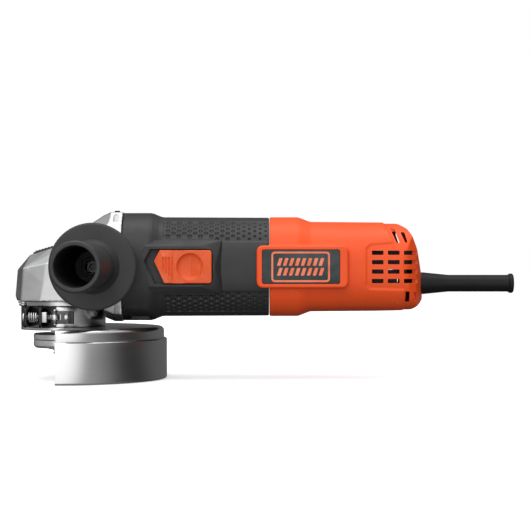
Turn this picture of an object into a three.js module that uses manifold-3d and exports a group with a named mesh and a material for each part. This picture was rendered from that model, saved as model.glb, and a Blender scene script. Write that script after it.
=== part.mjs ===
// Angle grinder for 125 mm discs: motor housing, gear head, guard, side handle and slide switch.
// Units are millimetres. +Z runs up along the spindle and +X runs back along the motor.
// The origin is the centre of the spindle's lower end face.
import * as THREE from 'three';
import { mergeVertices } from 'three/addons/utils/BufferGeometryUtils.js';
import { ConvexGeometry } from 'three/addons/geometries/ConvexGeometry.js';
import Module from 'manifold-3d';

const wasm = await Module();
wasm.setup();

// ---------------------------------------------------------------- driving dimensions

const GAP = 0.3; // clearance between neighbouring pieces
const WALL = 2.6; // plastic shell wall

// Spindle and what it carries
const SPINDLE_RADIUS = 7; // M14 nose
const SPINDLE_SHOULDER_RADIUS = 9.2;
const SPINDLE_SHOULDER_Z = 14.5;
const SHOULDER_HEIGHT = 3;
const SPINDLE_SEAT_RADIUS = 7.5;
const SPINDLE_TOP_RADIUS = 4;
const CLAMP_FLANGE_RADIUS = 19.9;
const BACKING_FLANGE_HEIGHT = 4.1;
const LOCK_NUT_HEIGHT = 5.3;
const LOCK_NUT_HUB_RADIUS = 10;
const LOCK_NUT_HUB_HEIGHT = 1.1;

// Bevel gears meet at the apex where the motor axis crosses the spindle axis
const MOTOR_AXIS_Z = 58.5;
const GEAR_TEETH = 30;
const PINION_TEETH = 10;
const GEAR_PITCH_RADIUS = 23;
const FACE_WIDTH = 7;
const FLANK_CLEARANCE = 0.14; // each flank is this much thinner than a tight mesh
const LOCK_HOLE_COUNT = 6;
const LOCK_PIN_X = -12;
const LOCK_PIN_RADIUS = 2;
const LOCK_TRAVEL = 4;

// Gear head
const HEAD_BOTTOM_Z = 36;
const HEAD_NOSE = 30.5; // nose distance in front of the spindle
const HEAD_HALF_WIDTH = 29;
const CASE_REAR_X = 41.8;
const FLANGE_FRONT_X = 30.3;
const HEAD_TOP_SLOPE = 0.3;
const HEAD_TOP_Z = 72.4; // height of the sloped top above the spindle

// Bearing cap and guard
const CAP_PLATE_HEIGHT = 3.2;
const NECK_RADIUS = 25.8;
const CAP_RIM = 1.8; // how far the bearing cap's rim stands out from the neck
const NECK_BOTTOM_Z = 17.2;
const GUARD_TOP_Z = 18.7;
const GUARD_SHEET = 2;
const GUARD_BEND = 2.8;
const GUARD_RADIUS = 67.2;
const GUARD_WALL_BOTTOM_Z = 8;
const SKIRT_THICKNESS = 1.8;
const SKIRT_TOP_Z = 10.9;
const SKIRT_BOTTOM_Z = -15.9;
const GUARD_CUT_X = 3.3;
const BAND_THICKNESS = 2;

// Side handle, along -Y
const HANDLE_X = 25.2;
const BOSS_RADIUS = 13;
const BOSS_END = 47.7;
const HANDLE_FLANGE_RADIUS = 28;
const HANDLE_FLANGE_THICKNESS = 7;
const HANDLE_LENGTH = 97.6;
const HANDLE_ROOT_RADIUS = 14;
const HANDLE_END_RADIUS = 15.3;
const HANDLE_BORE_RADIUS = 12.2;
const STUD_RADIUS = 4;

// Motor housing
const COLLAR_LENGTH = 17.8;
const COLLAR_SLOPE_LENGTH = 6.7;
const COLLAR_HALF_WIDTH = 34.5;
const COLLAR_HALF_HEIGHT = 35.8;
const GRIP_HALF_WIDTH = 31.5;
const GRIP_HALF_HEIGHT = 33;
const GRIP_LENGTH = 95.5;
const SECTION_POWER = 2.7; // squareness of the housing section
const SECTION_POINTS = 36;

// Rear housing
const REAR_STRAIGHT = 19;
const REAR_SLOPE = 8;
const REAR_HALF_WIDTH = 29.5;
const REAR_HALF_HEIGHT = 29.6;
const REAR_LENGTH = 102.4;

// Slide switch on the left side
const SLIDER_REAR_X = 100.3;
const SLIDER_LENGTH = 37.4;
const SLIDER_TOP_Z = 69.2;
const SLIDER_HEIGHT = 21.5;
const SLIDER_THICKNESS = 5.6;
const SLIDER_TRAVEL = 5.5;
const SURROUND_RAISE = 2.7; // how far the switch surround stands out of the grip
const SURROUND_MARGIN = 6.5;
const POCKET_FLOOR = 1.8;

// Badge frame
const BADGE_FRAME_START = -8.2; // measured from the end of the grip
const BADGE_FRAME_LENGTH = 59.6;
const BADGE_FRAME_HEIGHT = 27.6;
const BADGE_RIMS = [3.4, 5.3, 2.5]; // in front, behind, and above and below
const BADGE_RAISE = 2.5;

// Motor
const STATOR_RADIUS = 25.5;
const STATOR_LENGTH = 48;
const ARMATURE_RADIUS = 14.6;
const SHAFT_RADIUS = 4;
const AIR_GAP = 0.7;
const COMMUTATOR_RADIUS = 11.3;

// Cord boot
const BOOT_AXIS_Z = 47.4;
const BOOT_LENGTH = 60.6;
const BOOT_BASE_RADIUS = 7.3;
const BOOT_SLEEVE_RADIUS = 5.6;
const BOOT_BORE_RADIUS = 3.7;

// ---------------------------------------------------------------- derived places

const APEX = new THREE.Vector3(0, 0, MOTOR_AXIS_Z);
const HOUSING_START_X = CASE_REAR_X + GAP;
const COLLAR_END_X = HOUSING_START_X + COLLAR_LENGTH;
const GRIP_START_X = COLLAR_END_X + COLLAR_SLOPE_LENGTH;
const GRIP_END_X = HOUSING_START_X + GRIP_LENGTH;
const REAR_START_X = GRIP_END_X + GAP;
const REAR_END_X = REAR_START_X + REAR_LENGTH;
const CAP_TOP_Z = HEAD_BOTTOM_Z - GAP;
const CAP_BOTTOM_Z = CAP_TOP_Z - CAP_PLATE_HEIGHT;
const BAND_TOP_Z = CAP_BOTTOM_Z - GAP;
const BAND_BOTTOM_Z = GUARD_TOP_Z + GAP;
const BAND_INNER_RADIUS = NECK_RADIUS + GAP;
const BAND_OUTER_RADIUS = BAND_INNER_RADIUS + BAND_THICKNESS;
const GEAR_MODULE = (2 * GEAR_PITCH_RADIUS) / GEAR_TEETH;
const PINION_PITCH_RADIUS = (GEAR_MODULE * PINION_TEETH) / 2;
const GEAR_TIP_RADIUS = GEAR_PITCH_RADIUS + GEAR_MODULE;
const GEAR_CAVITY_RADIUS = GEAR_TIP_RADIUS + 2.2;
const GEAR_WEB_TOP_Z = MOTOR_AXIS_Z - PINION_PITCH_RADIUS + 0.2;
const GEAR_WEB_HEIGHT = 6;
const GEAR_CAVITY_TOP_Z = MOTOR_AXIS_Z - 3;
const BUSH_TOP_Z = GEAR_CAVITY_TOP_Z + 7;
const BUSH_RADIUS = SPINDLE_TOP_RADIUS + 2.3;
const SPINDLE_BEARING_RADIUS = 16;
const SPINDLE_BEARING_WIDTH = 9;
const SPINDLE_BEARING_Z = SPINDLE_SHOULDER_Z + SHOULDER_HEIGHT + GAP + 4;
const MOTOR_BEARING_RADIUS = 13;
const MOTOR_BEARING_WIDTH = 8;
const MOTOR_BEARING_X = GEAR_PITCH_RADIUS + 5.5;
const REAR_BEARING_RADIUS = 11;
const REAR_BEARING_WIDTH = 7;
const WEB_THICKNESS = 3;
const REAR_BEARING_X = GRIP_END_X - WEB_THICKNESS + 1;
const STATOR_START_X = GRIP_START_X;
const STATOR_END_X = STATOR_START_X + STATOR_LENGTH;
const STATOR_BORE_RADIUS = ARMATURE_RADIUS + AIR_GAP;
const FAN_RADIUS = STATOR_RADIUS;
const FAN_X = HOUSING_START_X + 4;
const FAN_LENGTH = 9;
const COIL_OVERHANG = 4.5;
const COMMUTATOR_X = STATOR_END_X + COIL_OVERHANG + 2;
const COMMUTATOR_LENGTH = 11;
const SLIDER_FRONT_X = SLIDER_REAR_X - SLIDER_LENGTH;
const SLIDER_BOTTOM_Z = SLIDER_TOP_Z - SLIDER_HEIGHT;
const SLIDER_TIP_Z = SLIDER_BOTTOM_Z + SLIDER_HEIGHT * 0.67;
const SURROUND_Y = GRIP_HALF_WIDTH + SURROUND_RAISE;
const ROD_OUTER_Y = STATOR_RADIUS + 1.5;
const ROD_THICKNESS = 2;
const POCKET_FLOOR_INNER_Y = ROD_OUTER_Y + GAP;
const POCKET_FLOOR_OUTER_Y = POCKET_FLOOR_INNER_Y + POCKET_FLOOR;
const SLIDER_INNER_Y = POCKET_FLOOR_OUTER_Y + GAP;
const ROD_BOTTOM_Z = SLIDER_TOP_Z - 3.2;
const ROD_HEIGHT = 5;
const PEG_X = SLIDER_REAR_X - 8;
const SWITCH_X = REAR_END_X - 40;
const SWITCH_LENGTH = 31.5;
const SWITCH_HALF_WIDTH = 9;
const ROD_STEP_X = GRIP_END_X + 14;
const BADGE_FRAME_X = GRIP_END_X + BADGE_FRAME_START;
const BADGE_Y = GRIP_HALF_WIDTH + BADGE_RAISE;
const CASE_SCREW_Y = COLLAR_HALF_WIDTH - 10.5;
const CASE_SCREW_Z = [MOTOR_AXIS_Z - COLLAR_HALF_HEIGHT + 11.8, MOTOR_AXIS_Z + COLLAR_HALF_HEIGHT - 11.8];
const SHELL_SCREWS = [[REAR_START_X + 14, MOTOR_AXIS_Z + 25], [REAR_START_X + 14, MOTOR_AXIS_Z - 25],
  [REAR_START_X + 62, MOTOR_AXIS_Z - 22]];

// ---------------------------------------------------------------- small parts

const BUTTON_HALF_WIDTH = 6;
const BUTTON_PROUD = 2.2;
const BUTTON_SUNK = 2;
const SPRING_SEAT_Z = GEAR_CAVITY_TOP_Z + 3;
const RECESS_DEPTH = BUTTON_SUNK + LOCK_TRAVEL + GAP;
const CAP_SCREWS = [[-HEAD_NOSE + 5.9, -14.2], [-HEAD_NOSE + 5.9, 14.2], [20.5, -20.3], [20.5, 20.3]];
const CAP_SCREW_HEAD = 3.1;
const CAP_SCREW_SHANK = 1.8;
const CASE_SCREW_HEAD = 3.8;
const CASE_SCREW_SHANK = 2;
const CASE_SCREW_SEAT_X = FLANGE_FRONT_X + 1;
const PLUG_X = CASE_REAR_X - 5.8;
const NOTCH_X = CASE_REAR_X - 4;
const CLAMP_SCREW_Y = -31.5;
const CLAMP_SCREW_Z = (BAND_TOP_Z + BAND_BOTTOM_Z) / 2;
const CLAMP_SCREW_RADIUS = 1.8;
const EAR_THICKNESS = 1.7;
const OUTER_EAR_X = -21.2;
const INNER_EAR_X = OUTER_EAR_X + 9.6;
const EAR_REACH_Y = -35.5;
const LEVER_PIN_X = INNER_EAR_X + 10;
const LEVER_HALF_HEIGHT = 4.2;
const HANDLE_BACK_Y = -BOSS_END - GAP;
const HANDLE_FACE_Y = HANDLE_BACK_Y - HANDLE_FLANGE_THICKNESS;
const HANDLE_TIP_Y = HANDLE_BACK_Y - HANDLE_LENGTH;
const HANDLE_FLOOR_Y = HANDLE_FACE_Y - 5;
const SHELL_BOSS_RADIUS = 4;
const SHELL_SCREW_RADIUS = 1.5;
const SHELL_SEAT_Y = 20;
const POLE_ROOT_RADIUS = STATOR_RADIUS - 5;
const BRUSH = { x: 5, y: 7, length: 11 };
const BRUSH_X = COMMUTATOR_X + 6.4;
const STUD_BLIND_Y = 29;

// ---------------------------------------------------------------- shape helpers

const AXES = {
  x: new THREE.Matrix4().makeBasis(
    new THREE.Vector3(0, 1, 0), new THREE.Vector3(0, 0, 1), new THREE.Vector3(1, 0, 0)),
  y: new THREE.Matrix4().makeBasis(
    new THREE.Vector3(1, 0, 0), new THREE.Vector3(0, 0, 1), new THREE.Vector3(0, -1, 0)),
  z: new THREE.Matrix4(),
};
// Signed volume of an indexed triangle mesh, positive when its faces point out.
function signedVolume(position, triangles) {
  const [a, b, c] = [new THREE.Vector3(), new THREE.Vector3(), new THREE.Vector3()];
  let sum = 0;
  for (let i = 0; i < triangles.length; i += 3) {
    a.fromBufferAttribute(position, triangles[i]);
    b.fromBufferAttribute(position, triangles[i + 1]);
    c.fromBufferAttribute(position, triangles[i + 2]);
    sum += a.dot(b.cross(c));
  }
  return sum;
}

// Turns a closed geometry into a manifold solid with outward faces.
function solid(geometry) {
  const plain = geometry.index ? geometry.toNonIndexed() : geometry.clone();
  plain.deleteAttribute('normal');
  plain.deleteAttribute('uv');
  const merged = mergeVertices(plain, 1e-4);
  const triangles = [];
  const index = merged.index.array;
  for (let i = 0; i < index.length; i += 3) {
    const [a, b, c] = [index[i], index[i + 1], index[i + 2]];
    if (a !== b && b !== c && c !== a) {
      triangles.push(a, b, c);
    }
  }
  if (signedVolume(merged.attributes.position, triangles) < 0) {
    triangles.reverse();
  }
  return new wasm.Manifold(new wasm.Mesh({
    numProp: 3,
    vertProperties: new Float32Array(merged.attributes.position.array),
    triVerts: new Uint32Array(triangles),
  }));
}

function block(x0, x1, y0, y1, z0, z1) {
  const geometry = new THREE.BoxGeometry(x1 - x0, y1 - y0, z1 - z0);
  return solid(geometry.translate((x0 + x1) / 2, (y0 + y1) / 2, (z0 + z1) / 2));
}

// Places a geometry made about its own Z axis along the named axis, centred at the two
// coordinates of that axis's plane: (Y, Z) for x, (X, Z) for y and (X, Y) for z.
function along(axis, geometry, [u, v]) {
  const offset = { x: [0, u, v], y: [u, 0, v], z: [u, v, 0] }[axis];
  return geometry.applyMatrix4(AXES[axis]).translate(...offset);
}

// A round bar from one station of the axis to another.
function bar(axis, radius, from, to, centre = [0, 0], sides = 24, endRadius = radius) {
  return turned(axis, [[0, from], [radius, from], [endRadius, to], [0, to]], centre, sides);
}

// A turned solid: the profile gives (radius, station) pairs and starts and ends on the axis,
// or closes on itself.
function turned(axis, profile, centre = [0, 0], sides = 28) {
  const way = axis === 'y' ? -1 : 1;
  const points = profile.map(([radius, station]) => new THREE.Vector2(radius, station * way));
  if (profile[0][0] > 0) {
    points.push(points[0].clone());
  }
  const geometry = new THREE.LatheGeometry(points, sides).rotateX(Math.PI / 2);
  return solid(along(axis, geometry, centre));
}

// An outline extruded along an axis. The outline lies in (Y, Z) for x, (X, Z) for y, (X, Y) for z.
function prism(axis, outline, from, to) {
  const shape = new THREE.Shape(outline.map(([u, v]) => new THREE.Vector2(u, v)));
  const geometry = new THREE.ExtrudeGeometry(shape, { depth: to - from, bevelEnabled: false });
  geometry.translate(0, 0, axis === 'y' ? -to : from);
  return solid(along(axis, geometry, [0, 0]));
}

// The convex solid around a set of corner points.
function hull(points) {
  return solid(new ConvexGeometry(points.map(([x, y, z]) => new THREE.Vector3(x, y, z))));
}

// A convex outline moved inwards by a distance.
function inset(outline, distance) {
  const lines = outline.map(([x, y], i) => {
    const [nextX, nextY] = outline[(i + 1) % outline.length];
    const length = Math.hypot(nextX - x, nextY - y);
    const [dx, dy] = [(nextX - x) / length, (nextY - y) / length];
    return { x: x - dy * distance, y: y + dx * distance, dx, dy };
  });
  return lines.map((line, i) => {
    const previous = lines[(i + lines.length - 1) % lines.length];
    const cross = previous.dx * line.dy - previous.dy * line.dx;
    const distanceAlong = ((line.x - previous.x) * line.dy - (line.y - previous.y) * line.dx) / cross;
    return [previous.x + previous.dx * distanceAlong, previous.y + previous.dy * distanceAlong];
  });
}

// A skin through rings of equally many points, closed at both ends, or back to the first ring.
function loft(rings, loop = false) {
  const count = rings[0].length;
  const positions = [];
  const index = [];
  rings.forEach((ring) => ring.forEach((point) => positions.push(...point)));
  const strips = loop ? rings.length : rings.length - 1;
  for (let r = 0; r < strips; r += 1) {
    const next = (r + 1) % rings.length;
    for (let i = 0; i < count; i += 1) {
      const j = (i + 1) % count;
      const [a, b, c, d] = [r * count + i, r * count + j, next * count + j, next * count + i];
      index.push(a, b, c, a, c, d);
    }
  }
  for (const [r, flip] of loop ? [] : [[0, true], [rings.length - 1, false]]) {
    const centre = positions.length / 3;
    const ring = rings[r];
    positions.push(...[0, 1, 2].map((k) => ring.reduce((sum, point) => sum + point[k], 0) / count));
    for (let i = 0; i < count; i += 1) {
      const [a, b] = [r * count + i, r * count + ((i + 1) % count)];
      index.push(...(flip ? [b, a, centre] : [a, b, centre]));
    }
  }
  const geometry = new THREE.BufferGeometry();
  geometry.setAttribute('position', new THREE.Float32BufferAttribute(positions, 3));
  geometry.setIndex(index);
  return solid(geometry);
}

// One ring of the rounded-square housing section at a station of the motor axis.
function housingRing(x, halfWidth, low, high) {
  const ring = [];
  for (let i = 0; i < SECTION_POINTS; i += 1) {
    const angle = (2 * Math.PI * i) / SECTION_POINTS;
    const [c, s] = [Math.cos(angle), Math.sin(angle)];
    const y = Math.sign(c) * Math.abs(c) ** (2 / SECTION_POWER) * halfWidth;
    const z = Math.sign(s) * Math.abs(s) ** (2 / SECTION_POWER);
    ring.push([x, y, (low + high) / 2 + (z * (high - low)) / 2]);
  }
  return ring;
}

// A housing-shaped solid through stations of [x, halfWidth, halfHeight] about the motor axis.
function housingBody(stations, grow = 0) {
  return loft(stations.map(([x, halfWidth, halfHeight]) => housingRing(
    x, halfWidth + grow, MOTOR_AXIS_Z - halfHeight - grow, MOTOR_AXIS_Z + halfHeight + grow)));
}

function unite(solids) {
  return solids.reduce((sum, next) => sum.add(next));
}

function cut(body, cutters) {
  return cutters.reduce((rest, cutter) => rest.subtract(cutter), body);
}

// The same solid on the other side of the XZ plane.
function mirrored(body) {
  return body.mirror([0, 1, 0]);
}

// A ball bearing as one plain ring.
function bearing(axis, outer, inner, from, width, centre) {
  return turned(axis, [[inner, from], [outer, from], [outer, from + width], [inner, from + width]],
    centre, 24);
}

// A pan-head screw with a round head and shank, head first along the axis.
function screw(axis, headRadius, headHeight, shankRadius, from, length, centre, way = 1) {
  const at = (distance) => from + way * distance;
  return turned(axis, [[0, at(0)], [headRadius, at(0)], [headRadius, at(headHeight)],
    [shankRadius, at(headHeight)], [shankRadius, at(length)], [0, at(length)]], centre, 12);
}

// A coil spring about the Z or X axis, made of a wire swept along a helix.
function coilSpring(axis, radius, wireRadius, from, to, turns, centre) {
  const stepsPerTurn = 10;
  class Helix extends THREE.Curve {
    getPoint(t, target = new THREE.Vector3()) {
      const angle = 2 * Math.PI * turns * t;
      const rise = from + wireRadius + (to - from - 2 * wireRadius) * t;
      return target.set(Math.cos(angle) * radius, Math.sin(angle) * radius, rise);
    }
  }
  const wire = new THREE.Shape();
  wire.absarc(0, 0, wireRadius, 0, 2 * Math.PI, false);
  const geometry = new THREE.ExtrudeGeometry(wire, {
    steps: Math.round(turns * stepsPerTurn), curveSegments: 2, extrudePath: new Helix(), bevelEnabled: false,
  });
  return solid(along(axis, geometry, centre));
}

// ---------------------------------------------------------------- bevel gears

// Involute half angle of a tooth of the equivalent spur gear at a radius.
function toothHalfAngle(radius, pitchRadius, halfThickness) {
  const base = pitchRadius * Math.cos(THREE.MathUtils.degToRad(20));
  const involute = (r) => {
    const pressure = Math.acos(Math.min(1, base / r));
    return Math.tan(pressure) - pressure;
  };
  const undercut = 0.35 * Math.max(0, base - radius) / base;
  const atRadius = Math.max(radius, base);
  return halfThickness / pitchRadius + involute(pitchRadius) - involute(atRadius) - undercut;
}

// The outer and inner rings of a bevel gear's teeth, whose pitch cone has its tip at the apex.
// place() turns a cone angle, a turn angle and a distance from the apex into a point.
function bevelTeeth({ teeth, mateTeeth, phase, addendum, middleLevels, place }) {
  const coneAngle = Math.atan2(teeth, mateTeeth);
  const pitchRadius = (GEAR_MODULE * teeth) / 2;
  const outerDistance = pitchRadius / Math.sin(coneAngle);
  const virtualRadius = pitchRadius / Math.cos(coneAngle);
  const halfThickness = (Math.PI * GEAR_MODULE) / 4 - FLANK_CLEARANCE;
  const tip = virtualRadius + GEAR_MODULE * addendum;
  const root = virtualRadius - GEAR_MODULE * (2.2 - addendum);
  const levels = [root, ...middleLevels.map((level) => virtualRadius + GEAR_MODULE * level), tip];
  const ring = (distance) => {
    const points = [];
    for (let tooth = 0; tooth < teeth; tooth += 1) {
      const middle = phase + (2 * Math.PI * tooth) / teeth;
      const flank = levels.map((level) => [level,
        toothHalfAngle(level, virtualRadius, halfThickness) / Math.cos(coneAngle)]);
      for (const side of [-1, 1]) {
        const ordered = side < 0 ? flank : [...flank].reverse();
        for (const [level, half] of ordered) {
          const angle = coneAngle + Math.atan((level - virtualRadius) / outerDistance);
          points.push(place(angle, middle + side * half, distance));
        }
      }
    }
    return points;
  };
  return [ring(outerDistance), ring(outerDistance - FACE_WIDTH)];
}

function bevelGear() {
  const teeth = bevelTeeth({ teeth: GEAR_TEETH, mateTeeth: PINION_TEETH, phase: 0, addendum: 0.7,
    middleLevels: [], place: (cone, turn, distance) => [
      APEX.x + distance * Math.sin(cone) * Math.cos(turn),
      APEX.y + distance * Math.sin(cone) * Math.sin(turn),
      APEX.z - distance * Math.cos(cone)] });
  const rimBottom = GEAR_WEB_TOP_Z - GEAR_WEB_HEIGHT;
  const circle = (radius, z) => teeth[0].map(([x, y]) => {
    const shrink = radius / Math.hypot(x, y);
    return [x * shrink, y * shrink, z];
  });
  const webRadius = GEAR_PITCH_RADIUS - FACE_WIDTH - 1.5;
  const bore = SPINDLE_SEAT_RADIUS + GAP;
  const body = loft([...teeth, circle(webRadius, GEAR_WEB_TOP_Z), circle(bore, GEAR_WEB_TOP_Z),
    circle(bore, rimBottom), circle(GEAR_PITCH_RADIUS - 1.6, rimBottom)], true);
  const holes = [];
  for (let i = 0; i < LOCK_HOLE_COUNT; i += 1) {
    const angle = (2 * Math.PI * i) / LOCK_HOLE_COUNT;
    const centre = [LOCK_PIN_X * Math.cos(angle), LOCK_PIN_X * Math.sin(angle)];
    holes.push(bar('z', LOCK_PIN_RADIUS + 0.4, rimBottom - 1, MOTOR_AXIS_Z, centre, 10));
  }
  return cut(body, holes);
}

function pinion() {
  const phase = Math.PI / PINION_TEETH - Math.PI / 2;
  const teeth = bevelTeeth({ teeth: PINION_TEETH, mateTeeth: GEAR_TEETH, phase, addendum: 1.05,
    middleLevels: [-0.35, 0.4], place: (cone, turn, distance) => [
      APEX.x + distance * Math.cos(cone),
      APEX.y + distance * Math.sin(cone) * Math.cos(turn),
      APEX.z + distance * Math.sin(cone) * Math.sin(turn)] });
  const hub = bar('x', PINION_PITCH_RADIUS - 2.4, GEAR_PITCH_RADIUS - 2, GEAR_PITCH_RADIUS + 3,
    [0, MOTOR_AXIS_Z]);
  const bore = bar('x', SHAFT_RADIUS + GAP, 0, GEAR_PITCH_RADIUS + 9, [0, MOTOR_AXIS_Z]);
  return cut(loft(teeth).add(hub), [bore]);
}

// ---------------------------------------------------------------- spindle line

function spindle() {
  const shoulderTop = SPINDLE_SHOULDER_Z + SHOULDER_HEIGHT;
  const seatTop = GEAR_WEB_TOP_Z + 2;
  return turned('z', [[0, 0], [SPINDLE_RADIUS - 1, 0], [SPINDLE_RADIUS, 1],
    [SPINDLE_RADIUS, SPINDLE_SHOULDER_Z], [SPINDLE_SHOULDER_RADIUS, SPINDLE_SHOULDER_Z],
    [SPINDLE_SHOULDER_RADIUS, shoulderTop], [SPINDLE_SEAT_RADIUS, shoulderTop],
    [SPINDLE_SEAT_RADIUS, seatTop], [SPINDLE_TOP_RADIUS, seatTop],
    [SPINDLE_TOP_RADIUS, BUSH_TOP_Z - GAP], [0, BUSH_TOP_Z - GAP]]);
}

function spindleBearing() {
  return bearing('z', SPINDLE_BEARING_RADIUS, SPINDLE_SEAT_RADIUS + GAP, SPINDLE_BEARING_Z,
    SPINDLE_BEARING_WIDTH, [0, 0]);
}

function spindleBush() {
  const inner = SPINDLE_TOP_RADIUS + GAP;
  return turned('z', [[inner, GEAR_CAVITY_TOP_Z + GAP], [BUSH_RADIUS, GEAR_CAVITY_TOP_Z + GAP],
    [BUSH_RADIUS, BUSH_TOP_Z], [inner, BUSH_TOP_Z]], [0, 0], 24);
}

function backingFlange() {
  const top = SPINDLE_SHOULDER_Z - GAP;
  const bottom = top - BACKING_FLANGE_HEIGHT;
  const inner = SPINDLE_RADIUS + GAP;
  return turned('z', [[inner, bottom], [CLAMP_FLANGE_RADIUS, bottom], [CLAMP_FLANGE_RADIUS, top - 0.8],
    [CLAMP_FLANGE_RADIUS - 0.8, top], [inner, top]]);
}

function lockNut() {
  const top = SPINDLE_SHOULDER_Z - GAP - BACKING_FLANGE_HEIGHT - GAP;
  const bottom = top - LOCK_NUT_HEIGHT;
  const inner = SPINDLE_RADIUS + GAP;
  const body = turned('z', [[inner, bottom - LOCK_NUT_HUB_HEIGHT],
    [LOCK_NUT_HUB_RADIUS, bottom - LOCK_NUT_HUB_HEIGHT], [LOCK_NUT_HUB_RADIUS, bottom],
    [CLAMP_FLANGE_RADIUS - 1.6, bottom], [CLAMP_FLANGE_RADIUS, bottom + 1.6], [CLAMP_FLANGE_RADIUS, top],
    [inner, top]]);
  const pinHoleRadius = 2.4;
  const pinCircle = (LOCK_NUT_HUB_RADIUS + CLAMP_FLANGE_RADIUS) / 2;
  const centres = [[pinCircle, 0], [0, pinCircle], [-pinCircle, 0], [0, -pinCircle]];
  return cut(body, centres.map((centre) => bar('z', pinHoleRadius, bottom - 1, bottom + 3, centre, 12)));
}

// ---------------------------------------------------------------- gear head

// The rear flange of the gear case, seen along the motor axis, as (Y, Z) corners.
function flangeOutline() {
  const [low, high] = [MOTOR_AXIS_Z - COLLAR_HALF_HEIGHT, MOTOR_AXIS_Z + COLLAR_HALF_HEIGHT];
  const side = COLLAR_HALF_WIDTH;
  const half = [[side - 12, low], [side - 3.5, low + 5], [side, low + 14], [side, high - 14],
    [side - 3, high - 7.5], [side - 12, high]];
  return [...half, ...half.map(([y, z]) => [-y, z]).reverse()];
}

function headTop(x) {
  return HEAD_TOP_Z + HEAD_TOP_SLOPE * x;
}

// Both sides of a list of (x, y, z) corners.
function bothSides(corners) {
  return corners.flatMap(([x, y, z]) => [[x, y, z], [x, -y, z]]);
}

// The outline of the lock button in (X, Z): a plate lying along the sloped top.
function buttonOutline(grow, above, below) {
  const [front, rear] = [LOCK_PIN_X - 7.5 - grow, LOCK_PIN_X + 9.5 + grow];
  return [[front, headTop(front) - below], [rear, headTop(rear) - below],
    [rear, headTop(rear) + above], [front, headTop(front) + above]];
}

function gearCase() {
  const [side, low, axis, nose] = [HEAD_HALF_WIDTH, HEAD_BOTTOM_Z, MOTOR_AXIS_Z, -HEAD_NOSE];
  const [shoulderZ, flangeTop] = [axis - 1.1, axis + COLLAR_HALF_HEIGHT];
  const roof = (x, halfWidth) => [x, halfWidth, headTop(x)];
  const front = [[nose + 0.8, 10, low], [nose, 10.5, low + 3.4], [nose + 1.4, 10.5, axis - 2],
    [nose + 8.3, 9, axis + 6.5]];
  const sides = [[nose + 6, side - 1.5, low], [nose + 7.5, side - 1.5, shoulderZ],
    [nose + 19, side + 1.3, low], [nose + 21.3, side + 1.6, axis - 10.5],
    [nose + 22.5, side + 1.3, shoulderZ + 3]];
  const back = [[-nose - 16.5, side + 4, low], [-nose - 16.5, side + 4, axis + 5.5]];
  const head = hull(bothSides([...front, ...sides, ...back, roof(nose + 10.3, 14), roof(nose + 23.5, 17),
    roof(-nose - 20.5, 19)]));
  const [flareX, width, shoulderX] = [FLANGE_FRONT_X - 5, COLLAR_HALF_WIDTH, FLANGE_FRONT_X + 3];
  const flare = hull(bothSides([[-2, side, low], [-2, side, shoulderZ], roof(-4, 17),
    [flareX, width, low], [flareX, width, flangeTop - 16.3], [flareX + 1.4, 21, flangeTop - 6.3],
    [flareX + 4, 20, flangeTop - 1.9], [shoulderX + 0.5, 22, flangeTop],
    [shoulderX, width, low], [shoulderX, width, flangeTop - 13.8],
    [shoulderX, width - 3, flangeTop - 7.5]]));
  const outline = flangeOutline();
  const chamfer = 2.4;
  const small = inset(outline, chamfer);
  const lower = (points, x) => points.map(([y, z]) => [x, y, z]).filter(([, , z]) => z < MOTOR_AXIS_Z);
  const middle = [-1, 1].map((way) => [shoulderX, way * width, axis]);
  const flange = hull([...outline.flatMap(([y, z]) => [[CASE_REAR_X, y, z]]),
    ...lower(small, FLANGE_FRONT_X), ...lower(outline, FLANGE_FRONT_X + 6.4), ...middle,
    ...outline.filter(([, z]) => z > MOTOR_AXIS_Z).map(([y, z]) => [FLANGE_FRONT_X + 3.5, y, z])]);
  const boss = bar('y', BOSS_RADIUS, -BOSS_END, BOSS_END, [HANDLE_X, MOTOR_AXIS_Z]);
  const bossFlare = [-1, 1].map((way) => turned('y', [[0, 0], [BOSS_RADIUS + 7, 0],
    [BOSS_RADIUS + 7, way * (side + 2)], [BOSS_RADIUS, way * (BOSS_END - 3)], [0, way * (BOSS_END - 3)]],
  [HANDLE_X - 1, MOTOR_AXIS_Z]));
  const frontOfHousing = block(-90, CASE_REAR_X, -90, 90, HEAD_BOTTOM_Z, 140);
  const flares = bossFlare.map((part) => part.intersect(frontOfHousing));
  const body = unite([head, flare, flange, boss, ...flares]);
  return cut(body, [...gearCaseBores(), ...gearCaseHoles()]);
}

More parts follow.
